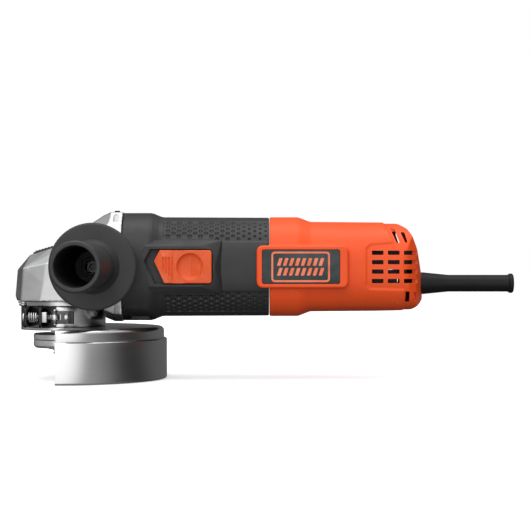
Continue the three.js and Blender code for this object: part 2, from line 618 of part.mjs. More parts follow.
// The spaces for the gears, bearings and lock button.
function gearCaseBores() {
  const motorCentre = [0, MOTOR_AXIS_Z];
  const gearRoom = bar('z', GEAR_CAVITY_RADIUS, HEAD_BOTTOM_Z - 9, GEAR_CAVITY_TOP_Z, [0, 0], 36);
  const bush = bar('z', BUSH_RADIUS + GAP, GEAR_CAVITY_TOP_Z - 1, BUSH_TOP_Z + GAP);
  const tunnel = bar('x', PINION_PITCH_RADIUS + 3, 11, CASE_REAR_X + 1, motorCentre);
  const seat = bar('x', MOTOR_BEARING_RADIUS + GAP, MOTOR_BEARING_X - GAP, CASE_REAR_X + 1, motorCentre);
  const rim = prism('x', inset(flangeOutline(), 5), FLANGE_FRONT_X + 3.5, CASE_REAR_X + 1);
  const bearingWall = bar('x', MOTOR_BEARING_RADIUS + 4, 0, CASE_REAR_X + 2, motorCentre);
  const screwPads = caseScrewCentres().map((centre) => bar('x', 6, 0, CASE_REAR_X + 2, centre, 12));
  const bossRoot = bar('y', BOSS_RADIUS, -BOSS_END, BOSS_END, [HANDLE_X, MOTOR_AXIS_Z]);
  const relief = cut(rim, [bearingWall, bossRoot, ...screwPads]);
  const buttonRoom = prism('y', buttonOutline(GAP, 20, RECESS_DEPTH), -BUTTON_HALF_WIDTH - GAP,
    BUTTON_HALF_WIDTH + GAP);
  const springRoom = bar('z', LOCK_PIN_RADIUS + 2, SPRING_SEAT_Z, HEAD_TOP_Z, [LOCK_PIN_X, 0], 12);
  const pinHole = bar('z', LOCK_PIN_RADIUS + 0.25, HEAD_BOTTOM_Z, HEAD_TOP_Z, [LOCK_PIN_X, 0], 12);
  return [gearRoom, bush, tunnel, seat, relief, buttonRoom, springRoom, pinHole];
}

function caseScrewCentres() {
  return CASE_SCREW_Z.flatMap((z) => [[-CASE_SCREW_Y, z], [CASE_SCREW_Y, z]]);
}

function gearCaseHoles() {
  const stud = [-1, 1].map((way) => bar('y', STUD_RADIUS + GAP, way * STUD_BLIND_Y, way * (BOSS_END + 1),
    [HANDLE_X, MOTOR_AXIS_Z], 24));
  const capScrews = CAP_SCREWS.map((centre) => bar('z', CAP_SCREW_SHANK + GAP, HEAD_BOTTOM_Z - 1,
    HEAD_BOTTOM_Z + 12, centre, 10));
  const [upperReach, lowerReach] = [16, 6]; // how far the screw heads need daylight in front of them
  const caseScrews = caseScrewCentres().flatMap((centre) => [
    bar('x', CASE_SCREW_SHANK + GAP, CASE_SCREW_SEAT_X - 5, CASE_REAR_X + 1, centre, 10),
    bar('x', CASE_SCREW_HEAD + 0.7, CASE_SCREW_SEAT_X - (centre[1] > MOTOR_AXIS_Z ? upperReach : lowerReach),
      CASE_SCREW_SEAT_X, centre, 12)]);
  const flangeTop = MOTOR_AXIS_Z + COLLAR_HALF_HEIGHT;
  const [notchRadius, notchY] = [2, COLLAR_HALF_WIDTH - 12.5];
  const [archZ, footZ] = [flangeTop - 3.4, flangeTop - 6.6];
  const notches = [-1, 1].flatMap((way) => {
    const [from, to] = way < 0 ? [-COLLAR_HALF_WIDTH - 6, -notchY] : [notchY, COLLAR_HALF_WIDTH + 6];
    return [bar('y', notchRadius, from, to, [NOTCH_X, archZ], 10),
      block(NOTCH_X - notchRadius, NOTCH_X + notchRadius, from, to, footZ, archZ)];
  });
  const plug = bar('z', 1.2 + GAP, flangeTop - 4.3, flangeTop + 5, [PLUG_X, 0], 12);
  const capRim = bar('z', NECK_RADIUS + CAP_RIM + GAP, NECK_BOTTOM_Z, CAP_TOP_Z, [0, 0], 48);
  return [...stud, ...capScrews, ...caseScrews, ...notches, plug, capRim];
}

function topPlug() {
  const top = MOTOR_AXIS_Z + COLLAR_HALF_HEIGHT;
  return turned('z', [[0, top - 3], [1.2, top - 3], [1.2, top + GAP], [1.8, top + GAP], [1.8, top + 1.6],
    [0, top + 1.6]], [PLUG_X, 0], 10);
}

function lockButton() {
  const outline = buttonOutline(0, BUTTON_PROUD, BUTTON_SUNK);
  const plate = prism('y', outline, -BUTTON_HALF_WIDTH, BUTTON_HALF_WIDTH);
  const top = headTop(LOCK_PIN_X);
  return cut(plate, [bar('z', LOCK_PIN_RADIUS + GAP, top - 9, top + 0.6, [LOCK_PIN_X, 0], 10)]);
}

function lockPin() {
  const bottom = GEAR_WEB_TOP_Z + 1;
  return bar('z', LOCK_PIN_RADIUS, bottom, headTop(LOCK_PIN_X) + GAP, [LOCK_PIN_X, 0], 10);
}

function lockSpring() {
  const top = headTop(LOCK_PIN_X) - BUTTON_SUNK - HEAD_TOP_SLOPE * 4 - GAP;
  return coilSpring('z', LOCK_PIN_RADIUS + 1.1, 0.4, SPRING_SEAT_Z + GAP, top, 4, [LOCK_PIN_X, 0]);
}

function bearingCap() {
  const lugHeight = 1.3;
  const lugBottom = CAP_TOP_Z - lugHeight;
  const lugs = CAP_SCREWS.map(([x, y]) => {
    const reach = 3.6;
    const corners = [[0, 0], [x, y]].flatMap(([cx, cy]) => {
      const points = [];
      for (let i = 0; i < 8; i += 1) {
        const angle = (Math.PI * i) / 4;
        points.push([cx + reach * Math.cos(angle), cy + reach * Math.sin(angle)]);
      }
      return points;
    });
    return hull(corners.flatMap(([cx, cy]) => [[cx, cy, lugBottom], [cx, cy, CAP_TOP_Z]]));
  });
  const bearingSeat = SPINDLE_BEARING_RADIUS + GAP;
  const body = turned('z', [[0, NECK_BOTTOM_Z], [NECK_RADIUS - 1, NECK_BOTTOM_Z],
    [NECK_RADIUS, NECK_BOTTOM_Z + 1], [NECK_RADIUS, CAP_BOTTOM_Z], [NECK_RADIUS + CAP_RIM, CAP_BOTTOM_Z],
    [NECK_RADIUS + CAP_RIM, CAP_TOP_Z], [GEAR_CAVITY_RADIUS - GAP, CAP_TOP_Z],
    [GEAR_CAVITY_RADIUS - GAP, CAP_TOP_Z + 2], [0, CAP_TOP_Z + 2]], [0, 0], 36);
  const heads = CAP_SCREWS.map((centre) => bar('z', CAP_SCREW_HEAD + 0.6, CAP_BOTTOM_Z - 1,
    lugBottom, centre, 12));
  const holes = CAP_SCREWS.map((centre) => bar('z', CAP_SCREW_SHANK + GAP, 20, CAP_TOP_Z + 9, centre, 10));
  const bore = bar('z', SPINDLE_SHOULDER_RADIUS + 1, 0, CAP_TOP_Z + 9);
  const seat = bar('z', bearingSeat, SPINDLE_BEARING_Z - GAP, CAP_TOP_Z + 9);
  const relief = turned('z', [[bearingSeat + 2.5, NECK_BOTTOM_Z - 1], [NECK_RADIUS - 2.5, NECK_BOTTOM_Z - 1],
    [NECK_RADIUS - 2.5, CAP_BOTTOM_Z], [bearingSeat + 2.5, CAP_BOTTOM_Z]]);
  return cut(unite([body, ...lugs]), [...heads, ...holes, bore, seat, relief]);
}

function capScrew(centre) {
  const lugBottom = CAP_TOP_Z - 1.3;
  const headHeight = 1.8;
  return screw('z', CAP_SCREW_HEAD, headHeight, CAP_SCREW_SHANK, lugBottom - GAP - headHeight, 14, centre);
}

function caseScrew(centre) {
  const headHeight = 2.6;
  return screw('x', CASE_SCREW_HEAD, headHeight, CASE_SCREW_SHANK, CASE_SCREW_SEAT_X - GAP - headHeight, 22,
    centre);
}

// ---------------------------------------------------------------- guard

// Keeps what lies behind the guard's straight front edge.
function guardSide(body) {
  return body.intersect(block(GUARD_CUT_X, 120, -120, 120, -60, 60));
}

function guardPlate() {
  const bend = GUARD_BEND;
  const [top, inner] = [GUARD_TOP_Z, NECK_RADIUS + GAP];
  const [outside, inside] = [[], []];
  const bendSteps = 3;
  for (let i = 0; i <= bendSteps; i += 1) {
    const angle = (Math.PI / 2) * (1 - i / bendSteps);
    const [c, s] = [Math.cos(angle), Math.sin(angle)];
    outside.push([GUARD_RADIUS - bend + bend * c, top - bend + bend * s]);
    inside.unshift([GUARD_RADIUS - bend + (bend - GUARD_SHEET) * c, top - bend + (bend - GUARD_SHEET) * s]);
  }
  const profile = [[inner, top - GUARD_SHEET], [inner, top], ...outside,
    [GUARD_RADIUS, GUARD_WALL_BOTTOM_Z], [GUARD_RADIUS - GUARD_SHEET, GUARD_WALL_BOTTOM_Z], ...inside];
  const dish = guardSide(turned('z', profile, [0, 0], 60));
  const front = turned('z', [[inner, top - GUARD_SHEET], [BAND_OUTER_RADIUS, top - GUARD_SHEET],
    [BAND_OUTER_RADIUS, top], [inner, top]], [0, 0], 60);
  return dish.add(front);
}

function guardSkirt() {
  const inner = GUARD_RADIUS + GAP;
  const outer = inner + SKIRT_THICKNESS;
  const lip = 1.2;
  return guardSide(turned('z', [[inner, SKIRT_TOP_Z], [outer - 0.5, SKIRT_TOP_Z], [outer, SKIRT_TOP_Z - 0.5],
    [outer, SKIRT_BOTTOM_Z], [inner - lip, SKIRT_BOTTOM_Z], [inner - lip, SKIRT_BOTTOM_Z + lip],
    [inner, SKIRT_BOTTOM_Z + lip]], [0, 0], 60));
}

function guardBand() {
  const ring = turned('z', [[BAND_INNER_RADIUS, BAND_BOTTOM_Z], [BAND_OUTER_RADIUS, BAND_BOTTOM_Z],
    [BAND_OUTER_RADIUS, BAND_TOP_Z], [BAND_INNER_RADIUS, BAND_TOP_Z]], [0, 0], 48);
  const earTop = BAND_TOP_Z - 0.6;
  const ear = (x) => {
    const rootY = -Math.sqrt(BAND_OUTER_RADIUS ** 2 - x ** 2) + 0.8;
    return block(x, x + EAR_THICKNESS, EAR_REACH_Y, rootY, BAND_BOTTOM_Z, earTop);
  };
  const split = block(OUTER_EAR_X + EAR_THICKNESS, INNER_EAR_X, -40, -9, 0, 60);
  const hole = bar('x', CLAMP_SCREW_RADIUS + GAP, OUTER_EAR_X - 3, INNER_EAR_X + 4,
    [CLAMP_SCREW_Y, CLAMP_SCREW_Z], 10);
  const inside = bar('z', BAND_INNER_RADIUS, 0, 60, [0, 0], 48);
  const open = cut(ring, [split]);
  return cut(unite([open, ear(OUTER_EAR_X), ear(INNER_EAR_X)]), [hole, inside]);
}

function clampScrew() {
  const headHeight = 1.5;
  const shank = screw('x', 3, headHeight, CLAMP_SCREW_RADIUS, OUTER_EAR_X - GAP - headHeight,
    LEVER_PIN_X - OUTER_EAR_X, [CLAMP_SCREW_Y, CLAMP_SCREW_Z]);
  const eye = bar('z', 3, CLAMP_SCREW_Z - 1.8, CLAMP_SCREW_Z + 1.8, [LEVER_PIN_X, CLAMP_SCREW_Y], 12);
  const pinHole = bar('z', 1.3 + GAP, 0, 60, [LEVER_PIN_X, CLAMP_SCREW_Y], 10);
  return cut(shank.add(eye), [pinHole]);
}

function clampSpring() {
  const [from, to] = [OUTER_EAR_X + EAR_THICKNESS + GAP, INNER_EAR_X - GAP];
  return coilSpring('x', CLAMP_SCREW_RADIUS + 1, 0.45, from, to, 4, [CLAMP_SCREW_Y, CLAMP_SCREW_Z]);
}

function clampNut() {
  const from = INNER_EAR_X + EAR_THICKNESS + GAP;
  const half = 3.4;
  const nut = block(from, from + 3, CLAMP_SCREW_Y - half, CLAMP_SCREW_Y + half, CLAMP_SCREW_Z - half,
    CLAMP_SCREW_Z + half);
  const centre = [CLAMP_SCREW_Y, CLAMP_SCREW_Z];
  return cut(nut, [bar('x', CLAMP_SCREW_RADIUS + GAP, from - 1, from + 4, centre, 10)]);
}

// A forked cam lever that straddles the clamp screw's eye and lies along the band when shut.
function clampLever() {
  const [low, high] = [CLAMP_SCREW_Z - LEVER_HALF_HEIGHT, CLAMP_SCREW_Z + LEVER_HALF_HEIGHT];
  const cam = bar('z', 3.2, low, high, [LEVER_PIN_X, CLAMP_SCREW_Y], 24);
  const y = CLAMP_SCREW_Y;
  const arm = prism('z', [[LEVER_PIN_X, y - 2.6], [LEVER_PIN_X + 9, y - 2.6], [LEVER_PIN_X + 12, y - 4.4],
    [LEVER_PIN_X + 13, y - 3], [LEVER_PIN_X + 9.5, y - 0.4], [LEVER_PIN_X, y - 0.4]], low, high);
  const fork = block(LEVER_PIN_X - 5, LEVER_PIN_X + 4.2, y - 9, y + 9, CLAMP_SCREW_Z - 2.1,
    CLAMP_SCREW_Z + 2.1);
  const pinHole = bar('z', 1.3 + GAP, 0, 60, [LEVER_PIN_X, y], 10);
  const thumbHole = bar('y', 1.8, y - 9, y + 9, [LEVER_PIN_X + 8, CLAMP_SCREW_Z], 10);
  return cut(cam.add(arm), [fork, pinHole, thumbHole]);
}

function clampLeverPin() {
  const half = LEVER_HALF_HEIGHT + 0.8;
  return bar('z', 1.3, CLAMP_SCREW_Z - half, CLAMP_SCREW_Z + half, [LEVER_PIN_X, CLAMP_SCREW_Y], 10);
}

// ---------------------------------------------------------------- side handle

function handleGrip() {
  const neck = HANDLE_ROOT_RADIUS;
  const tip = HANDLE_TIP_Y;
  const floorRadius = HANDLE_BORE_RADIUS - 1.8;
  return turned('y', [[STUD_RADIUS + GAP, HANDLE_BACK_Y], [HANDLE_FLANGE_RADIUS - 3, HANDLE_BACK_Y],
    [HANDLE_FLANGE_RADIUS, HANDLE_BACK_Y - 3], [HANDLE_FLANGE_RADIUS, HANDLE_FACE_Y + 1.6],
    [HANDLE_FLANGE_RADIUS - 1.6, HANDLE_FACE_Y], [neck + 3, HANDLE_FACE_Y], [neck, HANDLE_FACE_Y - 4],
    [neck, HANDLE_FACE_Y - 20], [HANDLE_END_RADIUS, HANDLE_FACE_Y - 48], [HANDLE_END_RADIUS, tip + 2],
    [HANDLE_END_RADIUS - 1, tip], [HANDLE_BORE_RADIUS, tip], [floorRadius, HANDLE_FLOOR_Y],
    [STUD_RADIUS + GAP + 1.2, HANDLE_FLOOR_Y], [STUD_RADIUS + GAP, HANDLE_FLOOR_Y + 1.2]],
  [HANDLE_X, MOTOR_AXIS_Z], 36);
}

function handleStud() {
  const bolt = bar('y', STUD_RADIUS, HANDLE_FLOOR_Y + 9, -STUD_BLIND_Y - 2, [HANDLE_X, MOTOR_AXIS_Z], 24);
  const socket = turned('y', [[0, HANDLE_FLOOR_Y + 8], [2.2, HANDLE_FLOOR_Y + 8], [2.2, HANDLE_FLOOR_Y + 13],
    [0, HANDLE_FLOOR_Y + 13]], [HANDLE_X, MOTOR_AXIS_Z], 6);
  return cut(bolt, [socket]);
}

// ---------------------------------------------------------------- motor housing

function housingStations(grow = 0) {
  return [[HOUSING_START_X, COLLAR_HALF_WIDTH + grow, COLLAR_HALF_HEIGHT + grow],
    [COLLAR_END_X, COLLAR_HALF_WIDTH + grow, COLLAR_HALF_HEIGHT + grow],
    [GRIP_START_X, GRIP_HALF_WIDTH + grow, GRIP_HALF_HEIGHT + grow],
    [GRIP_END_X, GRIP_HALF_WIDTH + grow - 0.3, GRIP_HALF_HEIGHT + grow - 0.3]];
}

function sliderOutline(margin, extraFront) {
  const front = SLIDER_FRONT_X - extraFront;
  const [low, high, rear] = [SLIDER_BOTTOM_Z - margin, SLIDER_TOP_Z + margin, SLIDER_REAR_X + margin];
  return [[front - margin, SLIDER_TIP_Z], [front + 6.7 - margin, low], [rear, low], [rear, high],
    [front + 3.8 - margin, high]];
}

// The raised bevelled surround with the switch pocket's floor behind it.
function switchSurround() {
  const wide = sliderOutline(SURROUND_MARGIN, SLIDER_TRAVEL - 3.5);
  const narrow = sliderOutline(SURROUND_MARGIN - 3.9, SLIDER_TRAVEL - 3.5);
  return hull([...wide.map(([x, z]) => [x, -SURROUND_Y + SURROUND_RAISE, z]),
    ...wide.map(([x, z]) => [x, -POCKET_FLOOR_INNER_Y, z]),
    ...narrow.map(([x, z]) => [x, -SURROUND_Y, z])]);
}

function motorHousing() {
  const centre = [0, MOTOR_AXIS_Z];
  const outer = housingBody(housingStations());
  const innerStations = housingStations(-WALL);
  innerStations[0][0] -= 1;
  innerStations[3][0] -= WEB_THICKNESS;
  const shell = outer.subtract(housingBody(innerStations));
  const ribs = [45, 135, 225, 315].map((degrees) => {
    const depth = GRIP_HALF_HEIGHT + 3 - STATOR_RADIUS;
    const geometry = new THREE.BoxGeometry(STATOR_LENGTH, depth, 3);
    geometry.translate(STATOR_START_X + STATOR_LENGTH / 2, STATOR_RADIUS + GAP + depth / 2, 0);
    geometry.rotateX(THREE.MathUtils.degToRad(degrees)).translate(0, 0, MOTOR_AXIS_Z);
    return solid(geometry).intersect(outer);
  });
  const cup = bar('x', REAR_BEARING_RADIUS + GAP + 2.4, GRIP_END_X - WEB_THICKNESS,
    REAR_BEARING_X + REAR_BEARING_WIDTH + 2.4, centre);
  const screwBosses = caseScrewCentres().map((at) => bar('x', 4.6, HOUSING_START_X, COLLAR_END_X, at, 12)
    .intersect(outer));
  const bearingRoom = bar('x', REAR_BEARING_RADIUS + GAP, GRIP_END_X - WEB_THICKNESS - 1,
    REAR_BEARING_X + REAR_BEARING_WIDTH + GAP, centre);
  const windows = [1, -1].map((way) => {
    const [near, far] = [REAR_BEARING_RADIUS + 5, GRIP_HALF_HEIGHT - WALL - 2];
    const [a, b] = [MOTOR_AXIS_Z + way * near, MOTOR_AXIS_Z + way * far];
    return block(GRIP_END_X - WEB_THICKNESS - 1, GRIP_END_X + 1, -12, 12, Math.min(a, b), Math.max(a, b));
  });
  const rodSlot = block(GRIP_END_X - WEB_THICKNESS - 1, GRIP_END_X + 1, -ROD_OUTER_Y - GAP,
    -ROD_OUTER_Y + ROD_THICKNESS + GAP, ROD_BOTTOM_Z - GAP, ROD_BOTTOM_Z + ROD_HEIGHT + GAP);
  const screwHoles = caseScrewCentres().map((at) => bar('x', CASE_SCREW_SHANK + GAP, HOUSING_START_X - 1,
    COLLAR_END_X - 4, at, 10));
  const exhausts = [-1, 1].map((way) => block(HOUSING_START_X + 4.4, HOUSING_START_X + 16.6,
    way > 0 ? 14 : -40, way > 0 ? 40 : -14, MOTOR_AXIS_Z - COLLAR_HALF_HEIGHT + 1.1,
    MOTOR_AXIS_Z - COLLAR_HALF_HEIGHT + 3.4));
  const body = unite([shell, ...ribs, cup, ...screwBosses, switchSurround()]);
  return cut(body, [bearingRoom, ...windows, rodSlot, ...screwHoles, ...exhausts, ...switchPocket()]);
}

function switchPocket() {
  const pocket = prism('y', sliderOutline(GAP, SLIDER_TRAVEL), -SURROUND_Y - 9, -POCKET_FLOOR_OUTER_Y);
  const slot = block(PEG_X - 2 - SLIDER_TRAVEL - GAP, PEG_X + 2 + GAP, -POCKET_FLOOR_OUTER_Y - 1,
    -POCKET_FLOOR_INNER_Y + 1, ROD_BOTTOM_Z - 2 - GAP, ROD_BOTTOM_Z + 2 + GAP);
  return [pocket, slot];
}

function switchSlider() {
  const plain = prism('y', sliderOutline(0, 0), -SLIDER_INNER_Y - SLIDER_THICKNESS, -SLIDER_INNER_Y);
  const face = -SLIDER_INNER_Y - SLIDER_THICKNESS;
  const grooves = [];
  for (let i = 0; i < 4; i += 1) {
    const x = SLIDER_REAR_X - 13.4 + i * 2.1;
    const front = SLIDER_FRONT_X + 5.6 + i * 2;
    grooves.push(block(x, x + 0.8, face - 1, face + 0.7, SLIDER_BOTTOM_Z + 5, SLIDER_TOP_Z - 5));
    grooves.push(block(front, front + 0.8, face - 1, face + 0.7, SLIDER_TOP_Z - 13 - i * 1.8,
      SLIDER_TOP_Z - 4.4));
  }
  const peg = block(PEG_X - 2 - GAP, PEG_X + 2 + GAP, -SLIDER_INNER_Y - 3, -SLIDER_INNER_Y + 1,
    ROD_BOTTOM_Z - 2 - GAP, ROD_BOTTOM_Z + 2 + GAP);
  return cut(plain, [...grooves, peg]);
}

// The slider's rod: it runs back inside the left wall, steps inwards behind the grip and reaches
// the switch in the tail.
function switchRod() {
  const [low, high] = [ROD_BOTTOM_Z, ROD_BOTTOM_Z + ROD_HEIGHT];
  const outside = [-ROD_OUTER_Y, -ROD_OUTER_Y + ROD_THICKNESS];
  const inside = [-SWITCH_HALF_WIDTH, -SWITCH_HALF_WIDTH + ROD_THICKNESS];
  const strip = block(PEG_X - 10, ROD_STEP_X + 3, ...outside, low, high);
  const peg = block(PEG_X - 2, PEG_X + 2, -SLIDER_INNER_Y - 2.6, -ROD_OUTER_Y + 0.5, ROD_BOTTOM_Z - 2,
    ROD_BOTTOM_Z + 2);
  const pegRoot = block(PEG_X - 2, PEG_X + 2, ...outside, ROD_BOTTOM_Z - 2, ROD_BOTTOM_Z + 2);
  const step = block(ROD_STEP_X, ROD_STEP_X + 3, outside[0], inside[1], low, high);
  const tail = block(ROD_STEP_X, SWITCH_X - 1, ...inside, low, high);
  return unite([strip, peg, pegRoot, step, tail]);
}

// The switch: a deep body in front, a shallower terminal block over the cord clamp, and the
// terminals' skirt hanging down between the clamp and the strain relief.
function switchModule() {
  const [bottom, middle, top] = [MOTOR_AXIS_Z - 13, MOTOR_AXIS_Z - 1, MOTOR_AXIS_Z + 19.5];
  const [bodyEnd, end] = [SWITCH_X + SWITCH_LENGTH * 0.41, SWITCH_X + SWITCH_LENGTH];
  const [near, far] = [-SWITCH_HALF_WIDTH, SWITCH_HALF_WIDTH - 2];
  const body = block(SWITCH_X, bodyEnd, near - 2, far + 2, bottom, top);
  const terminals = block(bodyEnd - 1, end, near, far, middle, MOTOR_AXIS_Z + 11);
  const skirt = block(end - 8.5, end - 2.5, near, far, middle - 3.6, middle + 1);
  return unite([body, terminals, skirt]);
}

// ---------------------------------------------------------------- rear housing

function rearStations(grow = 0) {
  const start = REAR_START_X;
  return [[start, GRIP_HALF_WIDTH + grow, GRIP_HALF_HEIGHT + grow],
    [start + REAR_STRAIGHT, GRIP_HALF_WIDTH + grow, GRIP_HALF_HEIGHT + grow],
    [start + REAR_STRAIGHT + REAR_SLOPE, REAR_HALF_WIDTH + grow, REAR_HALF_HEIGHT + grow + 0.3],
    [REAR_END_X, REAR_HALF_WIDTH + grow - 1, REAR_HALF_HEIGHT + grow - 0.3]];
}

// The rounded tail of the rear housing seen from the side, as (X, Z) corners.
function tailOutline() {
  const [end, axis] = [REAR_END_X, MOTOR_AXIS_Z];
  return [[end - 80, axis - 31], [end - 11.5, axis - 28.9], [end - 8, axis - 28.4], [end - 2.6, axis - 24],
    [end, axis - 21], [end, axis - 11.5], [end - 2.2, axis - 1], [end - 5, axis + 11],
    [end - 9, axis + 20.5], [end - 12, axis + 25], [end - 17, axis + 28.2], [end - 21, axis + 29.3],
    [end - 80, axis + 31]];
}

// The tail seen from above, as (X, Y) corners.
function tailPlan() {
  const [end, side] = [REAR_END_X, REAR_HALF_WIDTH];
  const half = [[end - 80, side + 6], [end - 22, side], [end - 12, side - 2.5], [end - 6, side - 9],
    [end - 3, side - 18], [end - 0.6, side - 27]];
  return [...half, ...half.map(([x, y]) => [x, -y]).reverse()].reverse();
}

function tailTrim(body, depth) {
  const front = block(REAR_START_X - 9, REAR_END_X - 60, -60, 60, 0, 120);
  const side = prism('y', inset(tailOutline(), depth), -60, 60);
  const plan = prism('z', inset(tailPlan(), depth), 0, 120);
  return body.intersect(front.add(side.intersect(plan)));
}

// An upright rectangle in (X, Z) with its corners cut off.
function clippedRectangle(x0, x1, z0, z1, clip) {
  return [[x0 + clip, z0], [x1 - clip, z0], [x1, z0 + clip], [x1, z1 - clip], [x1 - clip, z1],
    [x0 + clip, z1], [x0, z1 - clip], [x0, z0 + clip]];
}

// The outline of the badge frame, or of a smaller rectangle inside its rim.
function badgeOutline([frontRim, rearRim, highRim], clip) {
  const [x0, x1] = [BADGE_FRAME_X, BADGE_FRAME_X + BADGE_FRAME_LENGTH];
  const [z0, z1] = [MOTOR_AXIS_Z - BADGE_FRAME_HEIGHT / 2, MOTOR_AXIS_Z + BADGE_FRAME_HEIGHT / 2];
  return clippedRectangle(x0 + frontRim, x1 - rearRim, z0 + highRim, z1 - highRim, clip);
}

function badgeFrame() {
  const outer = badgeOutline([0, 0, 0], 4);
  const raised = hull([...outer.map(([x, z]) => [x, -BADGE_Y + 1, z]),
    ...outer.map(([x, z]) => [x, -GRIP_HALF_WIDTH + 4, z]),
    ...badgeOutline([1, 1, 1], 4).map(([x, z]) => [x, -BADGE_Y, z])]);
  const keep = housingBody(housingStations(GAP));
  const pocket = prism('y', badgeOutline(BADGE_RIMS, 2), -BADGE_Y - 5, -BADGE_Y + 1.6);
  return { raised: raised.subtract(keep), pocket };
}

// The vent slots of one side: rows of level slots and slanted ones above and below.
function ventSlots() {
  const [y0, y1] = [-50, -REAR_HALF_WIDTH + 12];
  const slots = [];
  const columns = [[-35.9, -28], [-25.6, -17.7], [-14.9, -4.4]];
  for (let row = 0; row < 4; row += 1) {
    const z = MOTOR_AXIS_Z + 10.4 - row * 6.15;
    for (const [from, to] of columns) {
      slots.push(block(REAR_END_X + from, REAR_END_X + to, y0, y1, z - 2.7, z));
    }
  }
  const slanted = (corners) => prism('y', corners.map(([x, z]) => [REAR_END_X + x, MOTOR_AXIS_Z + z]),
    y0, y1);
  slots.push(slanted([[-19.4, 15.6], [-17.2, 15.6], [-20.6, 25.4], [-23.4, 25.4]]));
  slots.push(slanted([[-13.8, 15.8], [-12.4, 15.8], [-14.2, 22.6], [-16.6, 22.6]]));
  slots.push(slanted([[-13.6, -23.6], [-10.8, -23.6], [-10.8, -16.2], [-13.6, -16.2]]));
  slots.push(slanted([[-8.4, -21.5], [-6.4, -21.5], [-6.4, -16.6], [-8.4, -16.6]]));
  return slots;
}

function rearHousingLeft() {
  const innerStations = rearStations(-WALL);
  innerStations[0][0] -= 1;
  const outer = tailTrim(housingBody(rearStations()), 0);
  const inner = tailTrim(housingBody(innerStations), WALL);
  const frame = badgeFrame();
  const shell = unite([outer, frame.raised]).subtract(inner);
  const half = shell.intersect(block(0, 400, -60, -GAP / 2, 0, 140));
  const bosses = SHELL_SCREWS.map((centre) => bar('y', SHELL_BOSS_RADIUS, -GRIP_HALF_WIDTH, -GAP / 2,
    centre, 12).intersect(outer));
  const holes = SHELL_SCREWS.map((centre) => bar('y', SHELL_SCREW_RADIUS + GAP, -16, 1, centre, 12));
  const bootHole = bar('x', BOOT_BASE_RADIUS + GAP, REAR_END_X - 20, REAR_END_X + 9, [0, BOOT_AXIS_Z]);
  return cut(unite([half, ...bosses]), [frame.pocket, ...holes, bootHole, ...ventSlots()]);
}

function rearHousingRight() {
  const counterbores = SHELL_SCREWS.flatMap((centre) => [
    bar('y', SHELL_SCREW_RADIUS + GAP, -1, 60, centre, 12),
    bar('y', 3.4, SHELL_SEAT_Y, 60, centre, 12)]);
  return cut(mirrored(rearHousingLeft()), counterbores);
}

function shellScrew(centre) {
  return screw('y', 3, 2.2, SHELL_SCREW_RADIUS, SHELL_SEAT_Y + GAP + 2.2, 33, centre, -1);
}

function badge() {
  const outline = badgeOutline(BADGE_RIMS.map((rim) => rim + GAP), 2);
  return prism('y', outline, -BADGE_Y + 0.3, -BADGE_Y + 1.3);
}

function strainRelief() {
  const [start, collar, end] = [REAR_END_X - 16, REAR_END_X - 10.5, REAR_END_X + BOOT_LENGTH];
  const base = REAR_END_X + GAP;
  const cone = [[BOOT_BASE_RADIUS, base], [BOOT_SLEEVE_RADIUS, base + 17]];
  const lip = BOOT_SLEEVE_RADIUS + 0.9;
  const [insideRadius, flangeRadius] = [BOOT_BASE_RADIUS - 1, BOOT_BASE_RADIUS + 2.4];
  return turned('x', [[BOOT_BORE_RADIUS, start], [insideRadius, start], [insideRadius, collar],
    [flangeRadius, collar], [flangeRadius, collar + 5], [BOOT_BASE_RADIUS, collar + 5], ...cone,
    [BOOT_SLEEVE_RADIUS, end - 3.4], [lip, end - 2.2], [lip, end - 0.8], [lip - 0.8, end],
    [BOOT_BORE_RADIUS, end]], [0, BOOT_AXIS_Z], 24);
}

function cordClamp() {
  const x = REAR_END_X - 26;
  const bridge = block(x, x + 8, -12, 12, BOOT_AXIS_Z - 1, BOOT_AXIS_Z + 9);
  const holes = [-8.5, 8.5].map((y) => bar('z', 1.6, 0, 90, [x + 4, y], 12));
  const groove = unite([bar('x', 4.4, x - 1, x + 9, [0, BOOT_AXIS_Z + 2], 12),
    block(x - 1, x + 9, -4.4, 4.4, BOOT_AXIS_Z - 2, BOOT_AXIS_Z + 2)]);
  return cut(bridge, [...holes, groove]);
}

// ---------------------------------------------------------------- motor

function tube(inner, outer, from, to) {
  return turned('x', [[inner, from], [outer, from], [outer, to], [inner, to]], [0, MOTOR_AXIS_Z], 40);
}

// A wedge about the motor axis that opens up (way 1) or down (way -1).
function wedge(way, degrees, from, to) {
  const reach = 60;
  const angle = THREE.MathUtils.degToRad(degrees);
  const [dy, dz] = [reach * Math.sin(angle), way * reach * Math.cos(angle)];
  const top = MOTOR_AXIS_Z + way * reach;
  const outline = [[0, MOTOR_AXIS_Z], [dy, MOTOR_AXIS_Z + dz], [reach, top], [-reach, top],
    [-dy, MOTOR_AXIS_Z + dz]];
  return prism('x', outline, from, to);
}

function statorCore() {
  const yoke = tube(POLE_ROOT_RADIUS, STATOR_RADIUS, STATOR_START_X, STATOR_END_X);
  const shoe = tube(STATOR_BORE_RADIUS, POLE_ROOT_RADIUS + 0.2, STATOR_START_X, STATOR_END_X);
  const poles = [1, -1].map((way) => shoe.intersect(wedge(way, 50, 0, 300)));
  return unite([yoke, ...poles]);
}

function fieldCoil(way) {
  const [from, to] = [STATOR_START_X - COIL_OVERHANG, STATOR_END_X + COIL_OVERHANG];
  const ring = tube(STATOR_BORE_RADIUS + 0.6, POLE_ROOT_RADIUS - GAP, from, to);
  const half = wedge(way, 88, 0, 300);
  const pole = wedge(way, 52, STATOR_START_X - GAP, STATOR_END_X + GAP);
  return ring.intersect(half).subtract(pole);
}

